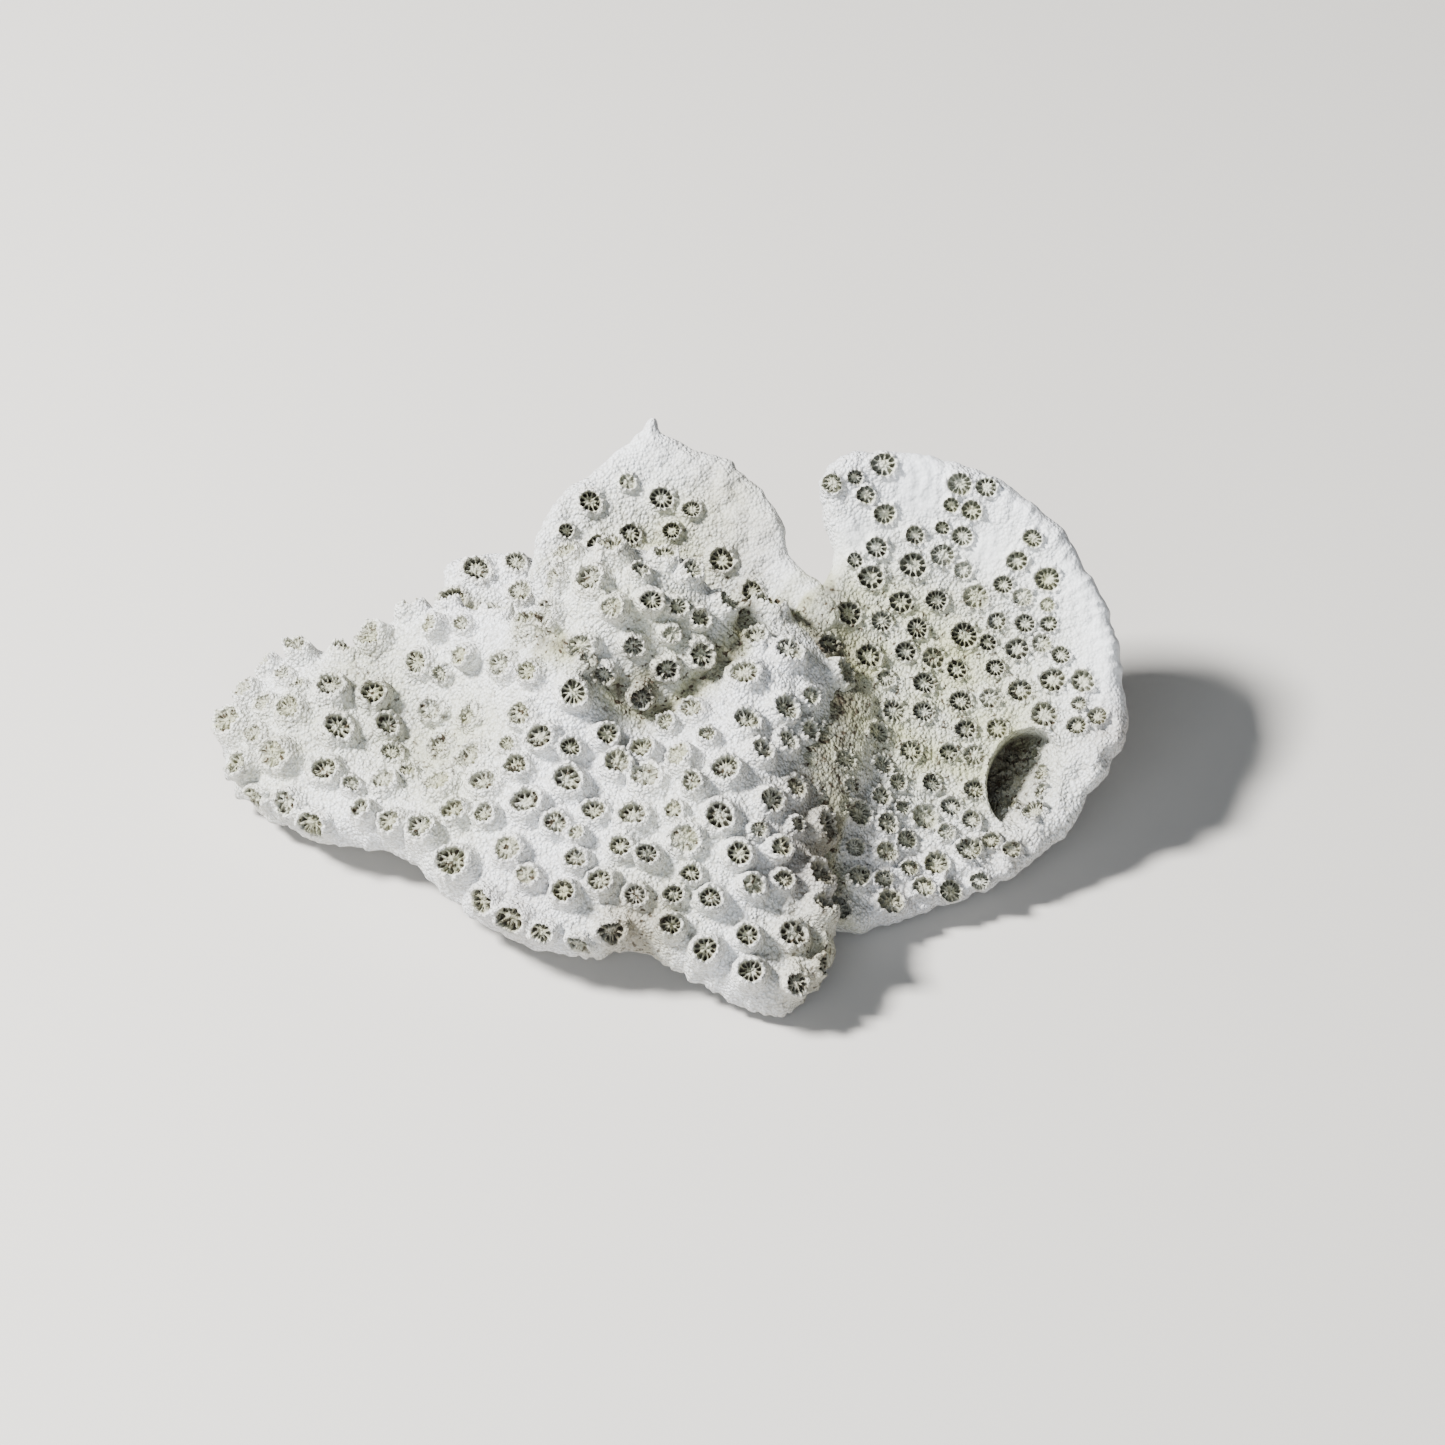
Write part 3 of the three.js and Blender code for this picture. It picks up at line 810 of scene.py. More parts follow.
class CoralFinish:
    """Dry coral skeleton: chalky white grains, olive-beige stain, and near-black for dirt and for painted
    shade in the slots, valleys and hollows.
    """

    WHITE = (0.84, 0.86, 0.90, 1.0)
    CHALK = (0.79, 0.75, 0.64, 1.0)
    CREAM = (0.38, 0.36, 0.32, 1.0)
    OLIVE = (0.40, 0.40, 0.21, 1.0)
    UMBER = (0.22, 0.17, 0.125, 1.0)
    # Near-black for dirt and for painted shade.
    DARK = (0.055, 0.042, 0.027, 1.0)
    ROUGHNESS = 0.92
    SPECULAR = 0.2
    PATCHES = (150.0, 5.0, 0.62)  # of a noise: lumps per metre, finer layers and their share
    GRAINS = (900.0, 4.0, 0.7)
    SPECKS = (1300.0, 2.0, 0.5)
    SPECK_LEVEL = 0.585
    PITS = (1100.0, 4.0, 0.7)
    PIT_DEPTH = 0.0004
    SPINES = 2100.0  # per metre
    SPINE_HEIGHT = 0.0005

    def __init__(self, name: str) -> None:
        """Builds the node material under a name."""
        self.material = bpy.data.materials.new(name)
        self.material.use_nodes = True
        self.tree = self.material.node_tree
        self.build()

    def feed(self, socket: Socket, value: object) -> None:
        """Links a socket to another one, or sets it to a plain value."""
        if isinstance(value, Socket):
            self.tree.links.new(value, socket)
        else:
            socket.default_value = value

    def node(self, kind: str, **values: object) -> bpy.types.Node:
        """Adds a node.

        Args:
            kind: Node type.
            values: What goes into its inputs, by name, with spaces as underscores.

        Returns:
            The node.
        """
        made = self.tree.nodes.new(kind)
        for name, value in values.items():
            self.feed(made.inputs[name.replace("_", " ")], value)
        return made

    def attribute(self, name: str) -> bpy.types.Node:
        """Adds a node that reads one of the mesh's own attributes."""
        made = self.tree.nodes.new("ShaderNodeAttribute")
        made.attribute_name = name
        return made

    def noise(self, place: Socket, kind: tuple[float, float, float]) -> Socket:
        """Adds noise at coordinates, its kind being lumps per metre, finer layers and their share."""
        values = dict(zip(("Scale", "Detail", "Roughness"), kind))
        return self.node("ShaderNodeTexNoise", Vector=place, **values).outputs["Fac"]

    def math(self, operation: str, a: object, b: object) -> Socket:
        """Adds a sum, product or other operation on two numbers.

        Args:
            operation: Name of the operation.
            a: First socket or number.
            b: Second socket or number.

        Returns:
            The result's socket, kept from 0 to 1.
        """
        made = self.tree.nodes.new("ShaderNodeMath")
        made.operation = operation
        made.use_clamp = True
        self.feed(made.inputs[0], a)
        self.feed(made.inputs[1], b)
        return made.outputs[0]

    def times(self, a: object, b: object) -> Socket:
        """Multiplies two sockets or numbers."""
        return self.math("MULTIPLY", a, b)

    def over(self, value: Socket, level: float, gain: float) -> Socket:
        """Gives how far a socket is over a level, times a gain."""
        return self.times(self.math("SUBTRACT", value, level), gain)

    def eased(self, value: Socket, share: float, least: float) -> Socket:
        """Gives a share of a socket, plus a least value."""
        return self.math("ADD", self.times(value, share), least)

    def mixed(self, share: Socket, a: object, b: object) -> Socket:
        """Mixes two colours.

        Args:
            share: Socket with the share of the second.
            a: First socket or colour.
            b: Second socket or colour.

        Returns:
            The colour's socket.
        """
        made = self.tree.nodes.new("ShaderNodeMix")
        made.data_type = "RGBA"
        self.feed(made.inputs["Factor"], share)
        self.feed(made.inputs[6], a)
        self.feed(made.inputs[7], b)
        return made.outputs[2]

    def build(self) -> None:
        """Wires the colour from the mesh's own attributes and noise, and a grainy bump."""
        place = self.tree.nodes.new("ShaderNodeTexCoord").outputs["Object"]
        kinds = (self.PATCHES, self.GRAINS, self.SPECKS, self.PITS)
        broad, fine, specks, pits = (self.noise(place, kind) for kind in kinds)
        cells = self.node("ShaderNodeTexVoronoi", Vector=place, Scale=self.SPINES).outputs["Distance"]
        look = self.attribute("look")
        grainy = look.outputs["Alpha"]
        # The look's first channel holds dirt and painted shade, the second olive stain, the third chalky
        # rims.
        dirt_and_shade, stain, rim = self.node("ShaderNodeSeparateColor", Color=look.outputs["Color"]).outputs
        fine = self.over(fine, 0.3, 2.3)
        gaps = self.over(cells, 0.35, 2.0)
        clean = self.math("SUBTRACT", 1.0, self.times(rim, 0.5))
        patchy = self.eased(self.over(broad, 0.3, 2.4), 0.5, 0.45)
        speckle = self.times(self.math("ADD", self.times(fine, 0.5), gaps), 0.6)
        colour = self.mixed(self.times(speckle, grainy), self.WHITE, self.CREAM)
        colour = self.mixed(self.times(rim, 0.75), colour, self.CHALK)
        brown = self.attribute("brown").outputs["Fac"]
        for amount, paint in ((stain, self.OLIVE), (brown, self.UMBER)):
            colour = self.mixed(self.times(self.times(amount, patchy), clean), colour, paint)
        specks = self.times(self.over(specks, self.SPECK_LEVEL, 12.0), self.eased(stain, 0.8, 0.12))
        # Dirt and painted shade, made patchy, with dark specks of dirt on top.
        grime_and_shade = self.times(dirt_and_shade, self.eased(fine, 0.5, 0.65))
        grime_and_shade = self.math("ADD", grime_and_shade, self.times(specks, grainy))
        colour = self.mixed(grime_and_shade, colour, self.DARK)
        spines = self.node(
            "ShaderNodeBump", Distance=self.SPINE_HEIGHT, Height=cells, Strength=self.times(grainy, 0.9)
        )
        spines.invert = True
        bump = self.node(
            "ShaderNodeBump", Distance=self.PIT_DEPTH, Height=pits, Strength=self.times(grainy, 0.7),
            Normal=spines.outputs["Normal"],
        )
        inputs = self.tree.nodes["Principled BSDF"].inputs
        self.feed(inputs["Roughness"], self.ROUGHNESS)
        self.feed(inputs["Specular IOR Level"], self.SPECULAR)
        self.feed(inputs["Base Color"], colour)
        self.feed(inputs["Normal"], bump.outputs["Normal"])


@dataclass
class Holdfast:
    """The stump under the fronds: a lumpy turned shape, stretched to the sides and cut flat below.

    Attributes:
        profile: Radius and height of its rings, from the cut upwards.
        stretch: Its width as a share of its depth.
        sectors: Points round each ring.
        steps: Rings between two profile corners.
    """

    profile: tuple[tuple[float, float], ...]
    stretch: float
    sectors: int = 160
    steps: int = 8

    LUMPS = ((0.5, 5.0, 31), (0.22, 1.6, 32))  # height, size and series
    SUNK = 0.4
    FADE = 1.2  # height over which the lumps come in above the cut
    STAIN = (0.35, 0.25, 4.0, 33)  # mean, spread, size and series
    DIRT = (0.15, 0.4, 1.5, 34)  # amount, level, size and series

    def build(self, finish: CoralFinish) -> bpy.types.Object:
        """Builds the stump as a closed grid round Z with rings interpolated between profile corners.

        Args:
            finish: Its material.

        Returns:
            The mesh object.
        """
        corner = np.array(self.profile)
        at = np.linspace(0, len(corner) - 1, (len(corner) - 1) * self.steps + 1)
        radius, level = (np.interp(at, np.arange(len(corner)), column)[1:-1] for column in corner.T)
        angle = np.arange(self.sectors) * (2 * np.pi / self.sectors)
        x = radius[:, None] * np.cos(angle) * self.stretch
        y = radius[:, None] * np.sin(angle)
        points = np.stack([x, y, np.broadcast_to(level[:, None], x.shape)], axis=2).reshape(-1, 3)
        lumps = sum(high * grain(points, size, series) for high, size, series in self.LUMPS) - self.SUNK
        outward = np.column_stack([points[:, 0], points[:, 1], np.zeros(len(points))])
        outward /= np.maximum(np.linalg.norm(outward, axis=1, keepdims=True), TINY)
        fade = smooth_step(0.0, self.FADE, points[:, 2])
        points = points + outward * (lumps * fade)[:, None]
        count = len(points)
        points = np.vstack([points, [[0, 0, 0], [0, 0, corner[-1, 1]]]])
        ring, sector = [m.ravel() for m in np.mgrid[0 : len(radius) - 1, 0 : self.sectors]]
        following = (sector + 1) % self.sectors
        a, b = ring * self.sectors + sector, ring * self.sectors + following
        quads = np.stack([a, b, b + self.sectors, a + self.sectors], axis=1)
        walls = np.concatenate([quads[:, [0, 1, 2]], quads[:, [0, 2, 3]]])
        s = np.arange(self.sectors)
        t = (s + 1) % self.sectors
        last = (len(radius) - 1) * self.sectors
        bottom = np.stack([t, s, np.full_like(s, count)], axis=1)
        lid = np.stack([last + s, last + t, np.full_like(s, count + 1)], axis=1)
        mean, spread, size, series = self.STAIN
        stain = mean + spread * grain(points, size, series)
        amount, over, size, series = self.DIRT
        dirt_and_shade = amount * (grain(points, size, series) > over)
        none, full = np.zeros(len(points)), np.ones(len(points))
        look = np.column_stack([dirt_and_shade, stain, none, full, none])
        faces = np.concatenate([walls, bottom, lid])
        return new_piece("holdfast_look", points, faces, look, finish, "holdfast")


def new_piece(
    name: str, points: Array, faces: Array, look: Array, finish: CoralFinish, node: str
) -> bpy.types.Object:
    """Makes a mesh object that stands for a solid.

    Args:
        name: Name of the object.
        points: Rows of three coordinates in millimetres.
        faces: Rows of three vertex numbers.
        look: Rows of dirt and painted shade, olive stain, chalky rim, graininess and brown stain per vertex.
        finish: Its material.
        node: The solid it stands for.

    Returns:
        The mesh object.
    """
    points = np.column_stack([points[:, :2], np.maximum(points[:, 2], 0.0)])
    mesh = bpy.data.meshes.new(name)
    mesh.vertices.add(len(points))
    mesh.vertices.foreach_set("co", (points * MM).astype(np.float32).ravel())
    mesh.loops.add(faces.size)
    mesh.loops.foreach_set("vertex_index", faces.astype(np.int32).ravel())
    mesh.polygons.add(len(faces))
    mesh.polygons.foreach_set("loop_start", np.arange(0, faces.size, 3, dtype=np.int32))
    mesh.polygons.foreach_set("use_smooth", np.ones(len(faces), bool))
    mesh.update(calc_edges=True)
    look = np.clip(look, 0.0, 1.0).astype(np.float32)
    layer = mesh.attributes.new("look", "FLOAT_COLOR", "POINT")
    layer.data.foreach_set("color", look[:, :4].ravel())
    brown = mesh.attributes.new("brown", "FLOAT", "POINT")
    brown.data.foreach_set("value", look[:, 4].copy())
    mesh.materials.append(finish.material)
    piece = bpy.data.objects.new(name, mesh)
    bpy.context.scene.collection.objects.link(piece)
    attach(piece, "root")
    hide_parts(node)
    log.info("%s: %d vertices, %d triangles", name, len(points), len(faces))
    return piece


@dataclass
class Coral:
    """The whole coral: fronds that grow together, and the stump below.

    Attributes:
        fronds: The leaves.
        holdfast: The stump.
        finish: The material of both.
    """

    fronds: tuple[Frond, ...]
    holdfast: Holdfast
    finish: CoralFinish

    SQUAT = (0.65, 0.4)  # share of its height that a cup loses beside a neighbour, and where this starts
    FREE = 0.4  # share of a cup's radius that stays clear of a neighbour
    EDGE_ZONE = 2.0  # where no cup grows beside a neighbour
    BROAD_LUMPS = (0.32, 5.5)  # height and size
    LUMPS = (0.12, 1.7, 20)  # height, size and series
    FINE = ((0.18, 0.6, 40), (0.1, 0.33, 41))
    SPINES = (0.45, 42)  # size and series
    RIBS = (0.1, 90.0, 3.0, 4.0, 45)  # height, count, waver, its size and its series
    GROWTH_LINES = (0.16, 1.9, 2.2, 7.0, 60)  # height, closeness, waver, its size and its series
    VALLEY = 3.0  # reach of the dirt and painted shade beside a neighbour
    VALLEY_SHADE_AND_DIRT = (0.8, 0.15)  # painted shade and dirt beside a neighbour: amount, and where it starts
    VALLEY_STAIN = (0.05, 0.7)  # where it starts and where it is full
    PATCHY = (0.75, 0.5)  # mean and spread of the patches of dirt and painted shade
    SHADE_AND_DIRT_PATCHES = (1.3, 71)  # size and series of the patches of the valleys' dirt and painted shade
    # Patches of dirt and of painted shade in valleys and creases, and the olive tint they add.
    GRIME_AND_SHADE_PATCHES = (1.1, 70)
    GRIME_AND_SHADE_STAIN = 1.6
    MOUTH_STAIN = 0.9
    STAINED_CUPS = 0.7  # how much dirt and painted shade cups keep in the stain of a clean frond
    # painted shade in a pocket, by the square of its share of the depth
    POCKET_SHADE = 0.95
    UNDER_STAIN = (0.12, 0.25)  # least, and share of the upper face's
    CUP_INSET = 0.45  # width of the strip along the edge where cups fade out
    SMOOTHEST = 0.8

    def clearance(self, points: Array, owner: Frond) -> tuple[Array, Array, Array]:
        """Measures how near points are to the other fronds.

        Args:
            points: Rows of three coordinates in the shared frame.
            owner: The frond they belong to.

        Returns:
            Distance to the nearest other frond, negative inside one. Closeness from 0 to 1, which
            falls off over the fillet of the pair. How far the skin is drawn towards the other frond:
            the squared closeness times a quarter of the fillet.
        """
        gap = np.full(len(points), np.inf)
        close = np.zeros(len(points))
        pull = np.zeros(len(points))
        for frond in self.fronds:
            if frond is not owner:
                away = frond.outside(points)
                fillet = FILLETS.get((owner.name, frond.name), LEAST_FILLET)
                near = np.clip(1.0 - np.maximum(away, 0.0) / fillet, 0.0, 1.0)
                pull = np.maximum(pull, near**2 * fillet / 4)
                close = np.maximum(close, near)
                gap = np.minimum(gap, away)
        return gap, close, pull

    def free_cups(self, frond: Frond) -> CupSet:
        """Drops the cups that another frond covers.

        Args:
            frond: The frond that carries them.

        Returns:
            The cups that stand free.
        """
        cups = frond.all_cups()
        p, q = cups.centre.T
        foot = frond.placed(np.column_stack([p, q, frond.height(p, q, Face.TOP)]))
        gap, close, _ = self.clearance(foot, frond)
        inward = frond.edge_field.read(p, q)
        lost, start = self.SQUAT
        cups = replace(cups, height=cups.height * (1.0 - lost * smooth_step(start, 1.0, close)))
        return cups.kept((gap > self.FREE * cups.radius) & ((inward > self.EDGE_ZONE) | (close == 0.0)))

    def surface(self, frond: Frond, face: Face, points: Array, cups: CupSet) -> tuple[Array, Array]:
        """Works out a face's vertices and their looks.

        Near another frond the face is drawn towards it, by the square of the closeness, so that the
        two run together in a rounded valley. The upper face also gets its cups and grains.

        Args:
            frond: The frond.
            face: Which of its faces.
            points: Rows of plane coordinates.
            cups: The cups on that face.

        Returns:
            Rows of three coordinates in the shared frame, and rows of looks.
        """
        p, q = points.T
        local = np.column_stack([p, q, frond.height(p, q, face)])
        world = frond.placed(local)
        gap, _, pull = self.clearance(world, frond)
        inward = frond.edge_field.read(p, q)
        skin = smooth_step(0.0, 1.0, inward)
        seed = frond.plan.seed
        patches = (frond.rough, frond.browns, frond.grime_and_shade, frond.stains, frond.bare)
        broken, brown, grime_and_shade, stain, smooth = (heaped(bells, p, q) for bells in patches)
        stain, smooth = np.clip(stain, 0.0, 1.0), np.clip(smooth, 0.0, 1.0)
        high, size = self.BROAD_LUMPS
        lumps = high * grain(world, size, seed)
        high, size, series = self.LUMPS
        lumps = lumps + (high + broken) * grain(world, size, seed + series)
        local[:, 2] += face.value * (pull + lumps * skin)
        # Dirt and painted shade in the valley beside another frond: darker the closer it comes, in patches.
        valley = np.exp(-np.maximum(gap, 0.0) / self.VALLEY)
        mean, spread = self.PATCHY
        size, series = self.SHADE_AND_DIRT_PATCHES
        amount, start = self.VALLEY_SHADE_AND_DIRT
        dirt_and_shade = amount * smooth_step(start, 1.0, valley) * (mean + spread * grain(world, size, seed + series))
        rim = np.zeros_like(p)
        if face is Face.TOP:
            raised, shade, rim, mouth = cups.relief(points)
            fine = sum(high * grain(world, size, seed + series) for high, size, series in self.FINE) * skin
            local += raised * smooth_step(0.0, self.CUP_INSET, inward)[:, None]
            size, series = self.SPINES
            spines = (frond.spiny + broken) * np.clip(grain(world, size, seed + series), 0.0, 1.0) * skin
            high, count, waver, size, series = self.RIBS
            bent = waver * grain(world, size, seed + series)
            ribs = high * smooth * np.sin(count * np.arctan2(q, p) + bent)
            local[:, 2] += fine + ribs * skin + spines * smooth_step(0.0, 0.5, rim)
            rim = frond.plan.chalk * rim
            # Grime patches: dirt, and painted shade laid along valleys and creases, with an olive tint.
            size, series = self.GRIME_AND_SHADE_PATCHES
            patch = grime_and_shade * (mean + spread * grain(world, size, seed + series))
            # The cups' painted shade, partly dirt where the frond is stained, joins the valley's dirt and
            # painted shade and the grime patches.
            shade = shade * (1.0 - frond.clean * (1.0 - self.STAINED_CUPS * stain))
            dirt_and_shade = np.maximum(np.maximum(dirt_and_shade, shade), patch)
            stain = np.maximum(np.maximum(stain, self.GRIME_AND_SHADE_STAIN * patch), self.MOUTH_STAIN * mouth)
            # Painted shade in each pocket, darkest where it is deepest, on its steep side.
            for pocket in frond.pockets:
                share = pocket.read(p, q)[1]
                dirt_and_shade = np.maximum(dirt_and_shade, self.POCKET_SHADE * share**2)
                stain = np.maximum(stain, share)
            stain = np.maximum(stain, smooth_step(*self.VALLEY_STAIN, valley))
        else:
            high, count, waver, size, series = self.GROWTH_LINES
            bent = waver * grain(world, size, seed + series)
            local[:, 2] += high * np.sin(count * inward + bent) * skin
            least, share = self.UNDER_STAIN
            stain = share * stain + least
        look = np.column_stack([dirt_and_shade, stain, rim, 1.0 - self.SMOOTHEST * frond.polish * smooth, brown])
        return frond.placed(local), look

    def build_frond(self, frond: Frond) -> bpy.types.Object:
        """Builds one frond: both faces sewn together along the outline.

        Args:
            frond: The frond.

        Returns:
            The mesh object.
        """
        cups = self.free_cups(frond)
        bare = cups.emptied()
        top, upward = frond.triangles(frond.face_points(Face.TOP, cups))
        under, downward = frond.triangles(frond.face_points(Face.UNDER, bare))
        count = len(frond.edge)
        top_points, top_look = self.surface(frond, Face.TOP, top, cups)
        under_points, under_look = self.surface(frond, Face.UNDER, under, bare)
        shifted = np.where(downward < count, downward, downward - count + len(top))
        points = np.concatenate([top_points, under_points[count:]])
        look = np.concatenate([top_look, under_look[count:]])
        faces = np.concatenate([upward, shifted[:, ::-1]])
        log.info("%s: %d cups", frond.name, len(cups.centre))
        return new_piece(frond.name + "_look", points, faces, look, self.finish, frond.name)

    def build(self) -> None:
        """Builds every piece."""
        for frond in self.fronds:
            self.build_frond(frond)
        self.holdfast.build(self.finish)


class LightRole(Enum):
    """The studio's lamps: where each one stands, how wide it is, its power and its colour."""

    KEY = ((-0.54, -0.05, 0.65), 0.14, 33.0, (1.0, 0.995, 0.98))
    FILL = ((-0.10, -0.8, 0.45), 0.8, 6.8, (0.84, 0.91, 1.0))


@dataclass
class Studio:
    """A plain pale floor, soft lamps, and the camera at the photograph's angle.

    Attributes:
        target: Point the camera looks at, in metres.
        elevation: Camera's angle above the floor, in degrees.
        distance: Camera's distance from the target, in metres.
        width: Width of the picture at the target, in metres.
    """

    target: tuple[float, float, float]
    elevation: float
    distance: float
    width: float

    FLOOR_REACH = 2.0
    FLOOR_COLOUR = (0.55, 0.53, 0.50, 1.0)
    FLOOR_ROUGHNESS = 0.9
    SKY_COLOUR = (0.93, 0.96, 1.0, 1.0)
    SKY_STRENGTH = 0.07
    SENSOR = 36.0

    def build(self) -> None:
        """Builds the floor, the lamps, the sky light and the camera."""
        self.build_floor()
        self.build_lights()
        self.build_camera()

    def build_floor(self) -> None:
        """Lays a plain pale square under the coral."""
        mesh = bpy.data.meshes.new("floor")
        far = self.FLOOR_REACH
        mesh.from_pydata([(-far, -far, 0), (far, -far, 0), (far, far, 0), (-far, far, 0)], [], [(0, 1, 2, 3)])
        floor = bpy.data.objects.new("floor", mesh)
        bpy.context.scene.collection.objects.link(floor)
        material = bpy.data.materials.new("floor")
        material.use_nodes = True
        inputs = material.node_tree.nodes["Principled BSDF"].inputs
        inputs["Base Color"].default_value = self.FLOOR_COLOUR
        inputs["Roughness"].default_value = self.FLOOR_ROUGHNESS
        mesh.materials.append(material)

    def build_lights(self) -> None:
        """Hangs the lamps, each turned to the target, and lights the sky."""
        scene = bpy.context.scene
        for role in LightRole:
            place, size, power, colour = role.value
            lamp = bpy.data.lights.new(role.name.lower(), "AREA")
            lamp.size, lamp.energy, lamp.color = size, power, colour
            holder = bpy.data.objects.new(role.name.lower(), lamp)
            holder.location = place
            way = Vector(self.target) - Vector(place)
            holder.rotation_euler = way.to_track_quat("-Z", "Y").to_euler()
            scene.collection.objects.link(holder)
        scene.world = bpy.data.worlds.new("studio")
        scene.world.use_nodes = True
        inputs = scene.world.node_tree.nodes["Background"].inputs
        inputs["Color"].default_value = self.SKY_COLOUR
        inputs["Strength"].default_value = self.SKY_STRENGTH

    def build_camera(self) -> None:
        """Sets the camera in front of the target, at its height angle."""
        scene = bpy.context.scene
        lens = bpy.data.cameras.new("camera")
        lens.sensor_width = self.SENSOR
        lens.lens = self.SENSOR * self.distance / self.width
        camera = bpy.data.objects.new("camera", lens)
        tilt = math.radians(self.elevation)
        back = Vector((0.0, -math.cos(tilt), math.sin(tilt)))
        camera.location = Vector(self.target) + back * self.distance
        camera.rotation_euler = (math.pi / 2 - tilt, 0.0, 0.0)
        scene.collection.objects.link(camera)
        scene.camera = camera


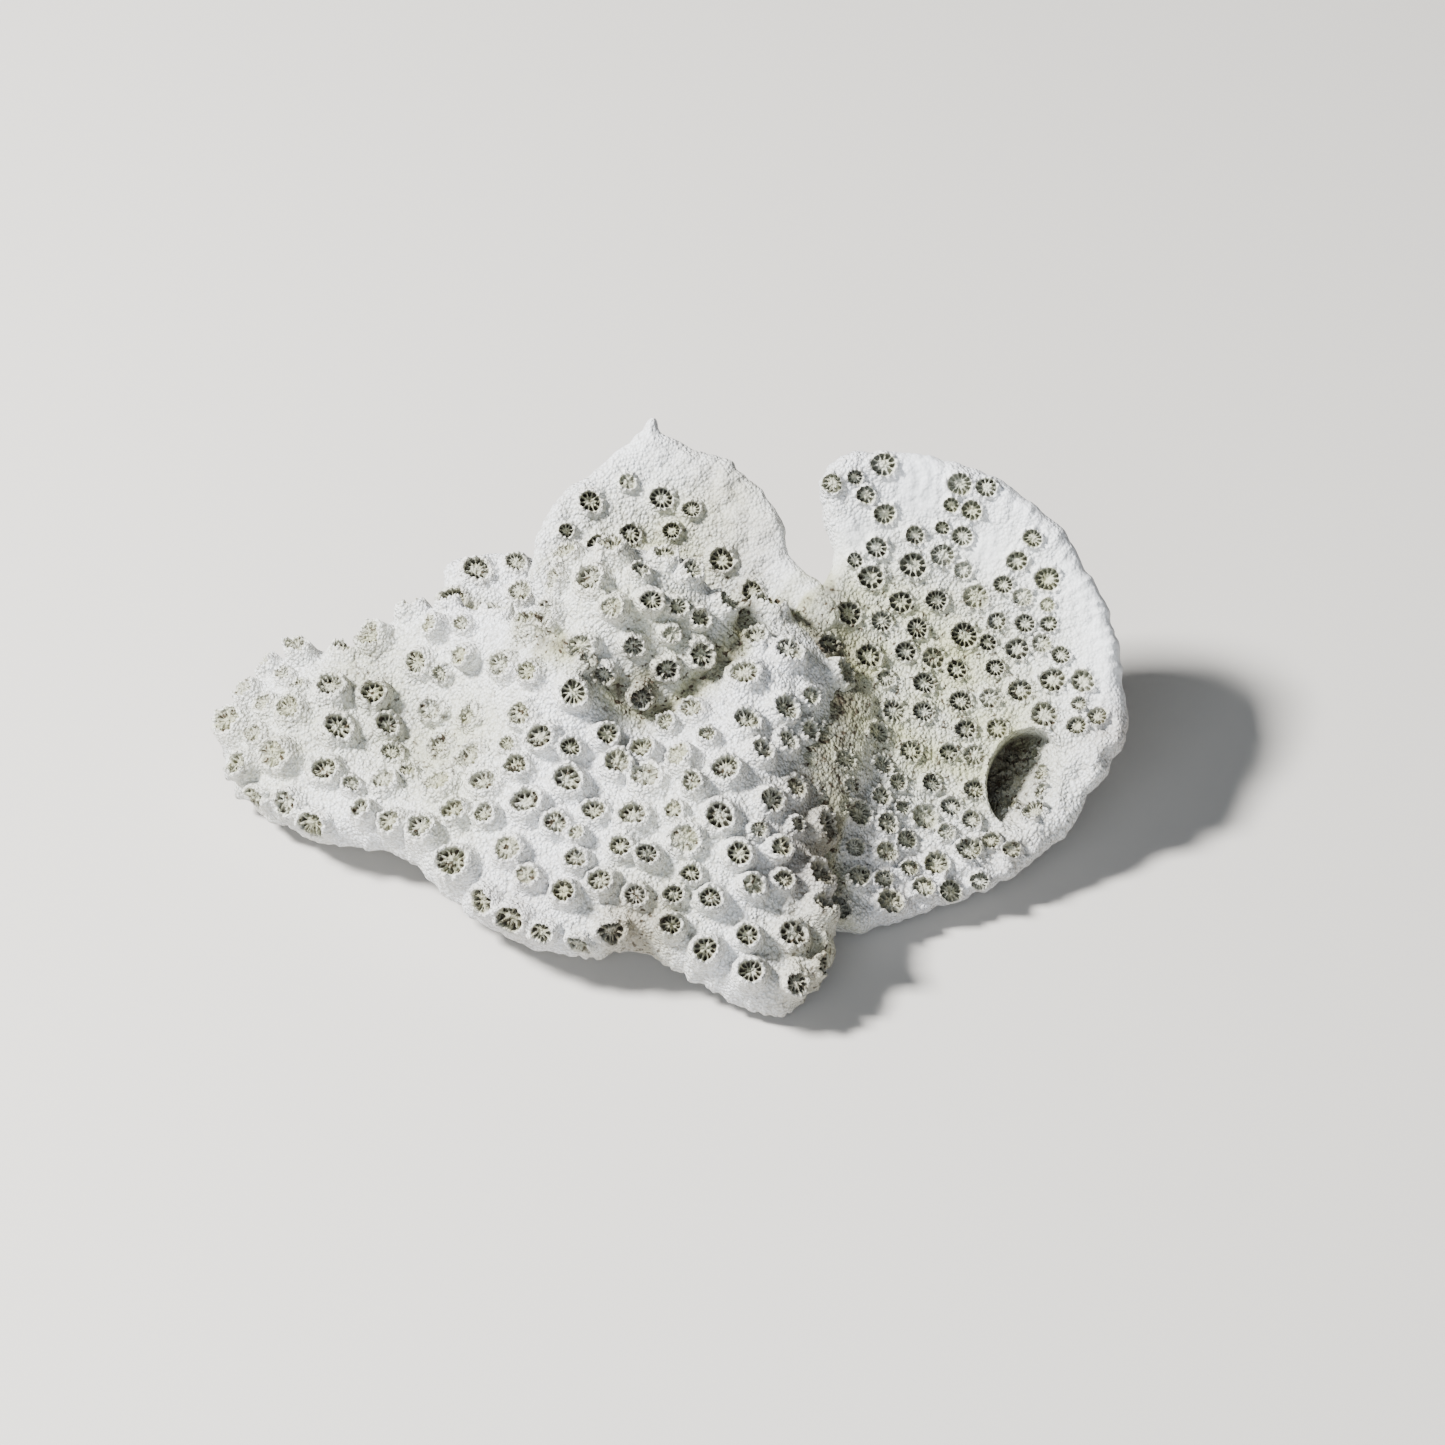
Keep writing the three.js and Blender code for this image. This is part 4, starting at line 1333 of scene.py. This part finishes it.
FRONDS = (
    Frond(
        "right_fan", (35, 14, 17), 42, 4.6,
        (
            (-15, 16), (-17, 24), (-16, 29.5), (-11, 31.5), (-1, 30.5), (8, 27), (14.5, 22), (19.5, 14.5),
            (22.5, 7), (23.5, -1), (23.5, -7.5), (19, -14.5), (15.5, -20), (7, -26.5), (-3, -30.5),
            (-13, -33.5), (-18, -30.5), (-21, -22), (-23, -8), (-24, 3), (-20, 11),
        ),
        (0.007, 0.007, -2, 5),
        (Bell((-19, -13), 8, 6),),
        (Bell((-12, -6), 14, 8), Bell((8, -14), 8, 5)),
        CupPlan(2.6, 3.1, 0.36, 1.0, 0.45, 1, 0.92, 0.3),
        stains=(Bell((-2, 2), 11, 1.0), Bell((-16, 6), 8, 0.8), Bell((4, -10), 8, 0.6)),
        grime_and_shade=(
            Bell((-17, 2), 5, 0.4), Bell((-15, -14), 6, 0.4), Bell((-20, 9), 3, 0.7), Bell((-15, 4), 3, 0.5),
        ),
        browns=(
            Bell((-14, -20), 5, 0.3), Bell((-6, -29), 4, 0.35), Bell((10, -23), 5, 0.35),
            Bell((23, -7), 4, 0.6),
        ),
        spiny=0.75,
        clean=0.6,
        tall=(
            Bell((-6, -29), 8, 1.3), Bell((10, -23), 7, 1.3), Bell((20, -14), 5, 1.0),
            Bell((-19, 10), 6, 0.8),
        ),
        rough=(
            Bell((-5, -29), 6, 0.9), Bell((8, -24), 5, 0.9), Bell((17, -17), 4.5, 0.9),
            Bell((22, -9), 4, 0.8), Bell((-2, 2), 13, 0.12),
        ),
        pockets=(Pocket((10.3, -13), (5.2, 7.0), -12, 6.4, 0.8),),
        bare=(
            Bell((25, 3), 6, 1), Bell((20.5, 15.5), 5.5, 1), Bell((11, 27), 4.5, 1), Bell((-3, 33), 4, 1),
            Bell((-18, 13), 3, 1), Bell((-4, 25), 3, 1), Bell((-12, 20), 2.5, 1), Bell((5, 18), 2.5, 1),
        ),
        cups_on_edge=True,
        edge_drop=0.6,
    ),
    Frond(
        "back_frond", (-2.6, 29, 30), 38, 4.2,
        (
            (-18, -7), (-17.5, -1), (-16, 3.5), (-13, 7), (-6, 12.5), (-2, 16.5), (0, 14), (7.5, 11.5),
            (10, 9.5), (13.5, 6), (15.5, 2), (17, -3), (21, -7), (23, -12), (14, -17), (0, -20), (-13, -18),
        ),
        (0.006, 0.004, 0, -4),
        (),
        (Bell((6, -10), 11, 9),),
        CupPlan(4.5, 3.5, 0.9, 3.2, 2.6, 2, 0.84, 0.4),
        stains=(Bell((-2, -5), 8, 0.9), Bell((9, 5), 6, 0.5)),
        grime_and_shade=(Bell((10, -10), 4.5, 0.5), Bell((0, -7), 6, 0.25)),
        browns=(Bell((12, 0), 3.5, 0.5), Bell((8, 7), 3, 0.4), Bell((3, 12), 3, 0.3)),
        rough=(Bell((12, 0), 3, 0.6), Bell((9, 6), 3, 0.6), Bell((3, 11), 3, 0.4), Bell((-13, 4), 4, 0.4)),
        polish=0.5,
        bare=(Bell((16, 0), 4.5, 1), Bell((10, 7), 4.5, 1), Bell((21, -8), 4, 1), Bell((-2, 12), 4, 1)),
    ),
    Frond(
        "centre_knob", (-6.6, 11.2, 30.6), 28, 6,
        (
            (-11.5, 2.5), (-11, 7.5), (-8.5, 10), (-4.5, 11), (0.5, 10), (6, 8), (10, 5.5), (13, 2), (16, -5),
            (13, -12), (6, -16), (-4, -15), (-11, -10), (-13.5, -4),
        ),
        (-0.012, -0.028, 0, 4),
        (Bell((-1, 2), 7, 4),),
        (Bell((0, -4), 8, 10),),
        CupPlan(2.8, 3.8, 1.9, 1.0, 0.3, 3, 0.76, 0.5),
        stains=(Bell((6, -6), 7, 0.6), Bell((-4, 4), 7, 0.45)),
        grime_and_shade=(Bell((0, -9.5), 3, 1.0), Bell((9, -10), 3, 0.4)),
        spiny=0.8,
        cups_on_edge=True,
    ),
    Frond(
        "front_frond", (6, -8, 18.4), 23, 5.6,
        (
            (-68.5, 16), (-65, 23.5), (-58.5, 28.5), (-53, 26.5), (-50, 26), (-47.5, 29.5), (-44.5, 31),
            (-40.5, 31.5), (-33.5, 29), (-25.5, 24.5), (-18, 19), (-13, 13), (-8.5, 14), (-6, 20), (-2, 26.5),
            (5.5, 28.5), (13.5, 23), (19.5, 16), (19, 7), (15, -3), (13, -11), (13.5, -19), (12, -24.5),
            (9.5, -27.5), (6.5, -29.5), (0.5, -27.5), (-6.5, -24), (-12, -21), (-21, -21), (-29.5, -17.5),
            (-38, -10.5), (-44, -4.5), (-56, 0), (-66, 8),
        ),
        (-0.004, -0.004, 0, 0),
        (
            Bell((-34, 26), 6, 3.3), Bell((-22, 17), 6, 6), Bell((-41, 12), 7, -4.2), Bell((-57, 15), 6, 2.8),
            Bell((0, -1), 8, 3), Bell((8, 18), 6.5, 3.5), Bell((18, 24), 6, -6), Bell((-11, 3), 5, -2),
            Bell((-11, 13), 5, -2), Bell((23, 7), 8.5, -11), Bell((19, -8), 6, -7),
        ),
        (Bell((-2, 6), 11, 7), Bell((-28, 6), 11, 6)),
        CupPlan(3.4, 4.0, 2.3, 0.6, 0.4, 5, 0.74, 0.3),
        tall=(Bell((-38, 9), 7, -0.7), Bell((8, 14), 9, -0.5), Bell((13, -4), 7, -0.4)),
        stains=(
            Bell((-60, 12), 8, 0.5), Bell((-38, 10), 7, 0.75), Bell((-48, 22), 5, 0.5), Bell((18, 4), 7, 0.9),
            Bell((12, -23), 5, 0.9), Bell((-11, -19), 5, 0.7),
            Bell((-6, -6), 8, 0.3), Bell((-36, -4), 5, 0.3),
        ),
        grime_and_shade=(
            Bell((16, 3), 4.5, 0.45), Bell((13, -7), 4, 0.45), Bell((-11, -19), 3, 0.4),
            Bell((-11, 14), 4, 0.8), Bell((11, -19), 3, 0.25), Bell((9, 27), 3, 0.6), Bell((15, 21), 3, 0.5),
            Bell((-49, 21), 3, 0.35), Bell((-45, 15), 3, 0.3), Bell((-40, 9), 3.5, 0.25),
            Bell((-58, 10), 5, 0.12),
        ),
        browns=(
            Bell((13, -3), 5.5, 0.75), Bell((11, -13), 4, 0.6), Bell((10, -25), 4, 0.6),
            Bell((-13, -19), 3.5, 0.8), Bell((-27, -15), 4, 0.35),
        ),
        rough=(Bell((12, -21), 4.5, 1.4), Bell((8, 14), 9, 0.25), Bell((-38, 9), 7, 0.4)),
        bare=(Bell((14, -20), 2.5, 1),),
        ragged=0.7,
        polish=0.0,
        cups_on_edge=True,
        edge_drop=0.8,
    ),
    Frond(
        "back_leaf", (-26, 29, 21), 25, 4,
        (
            (-8, -2), (-7, 0.5), (-6.5, 4), (-1.5, 5.5), (5, 5), (9, 1), (12, -9), (10, -20), (0, -21),
            (-6, -13),
        ),
        (0.004, 0, 0, 0),
        (),
        (Bell((2, -6), 7, 5),),
        CupPlan(4, 3.4, 0.9, 1.6, 1.5, 8, 0.8, 0.5),
    ),
)
HOLDFAST = Holdfast(
    ((0, 0), (16, 0), (16.8, 1.5), (16, 4), (17, 7), (18, 10), (16, 14), (10, 18), (0, 19)), 1.25
)


def main() -> None:
    """Builds the coral and the studio, and logs the vertex, triangle and cup counts of the looks."""
    logging.basicConfig(level=logging.INFO, format="%(name)s %(message)s")
    Coral(FRONDS, HOLDFAST, CoralFinish("coral")).build()
    Studio(target=(0.005, 0.0071, 0.017), elevation=42.0, distance=0.7, width=0.1922).build()


if __name__ == "__main__":
    main()
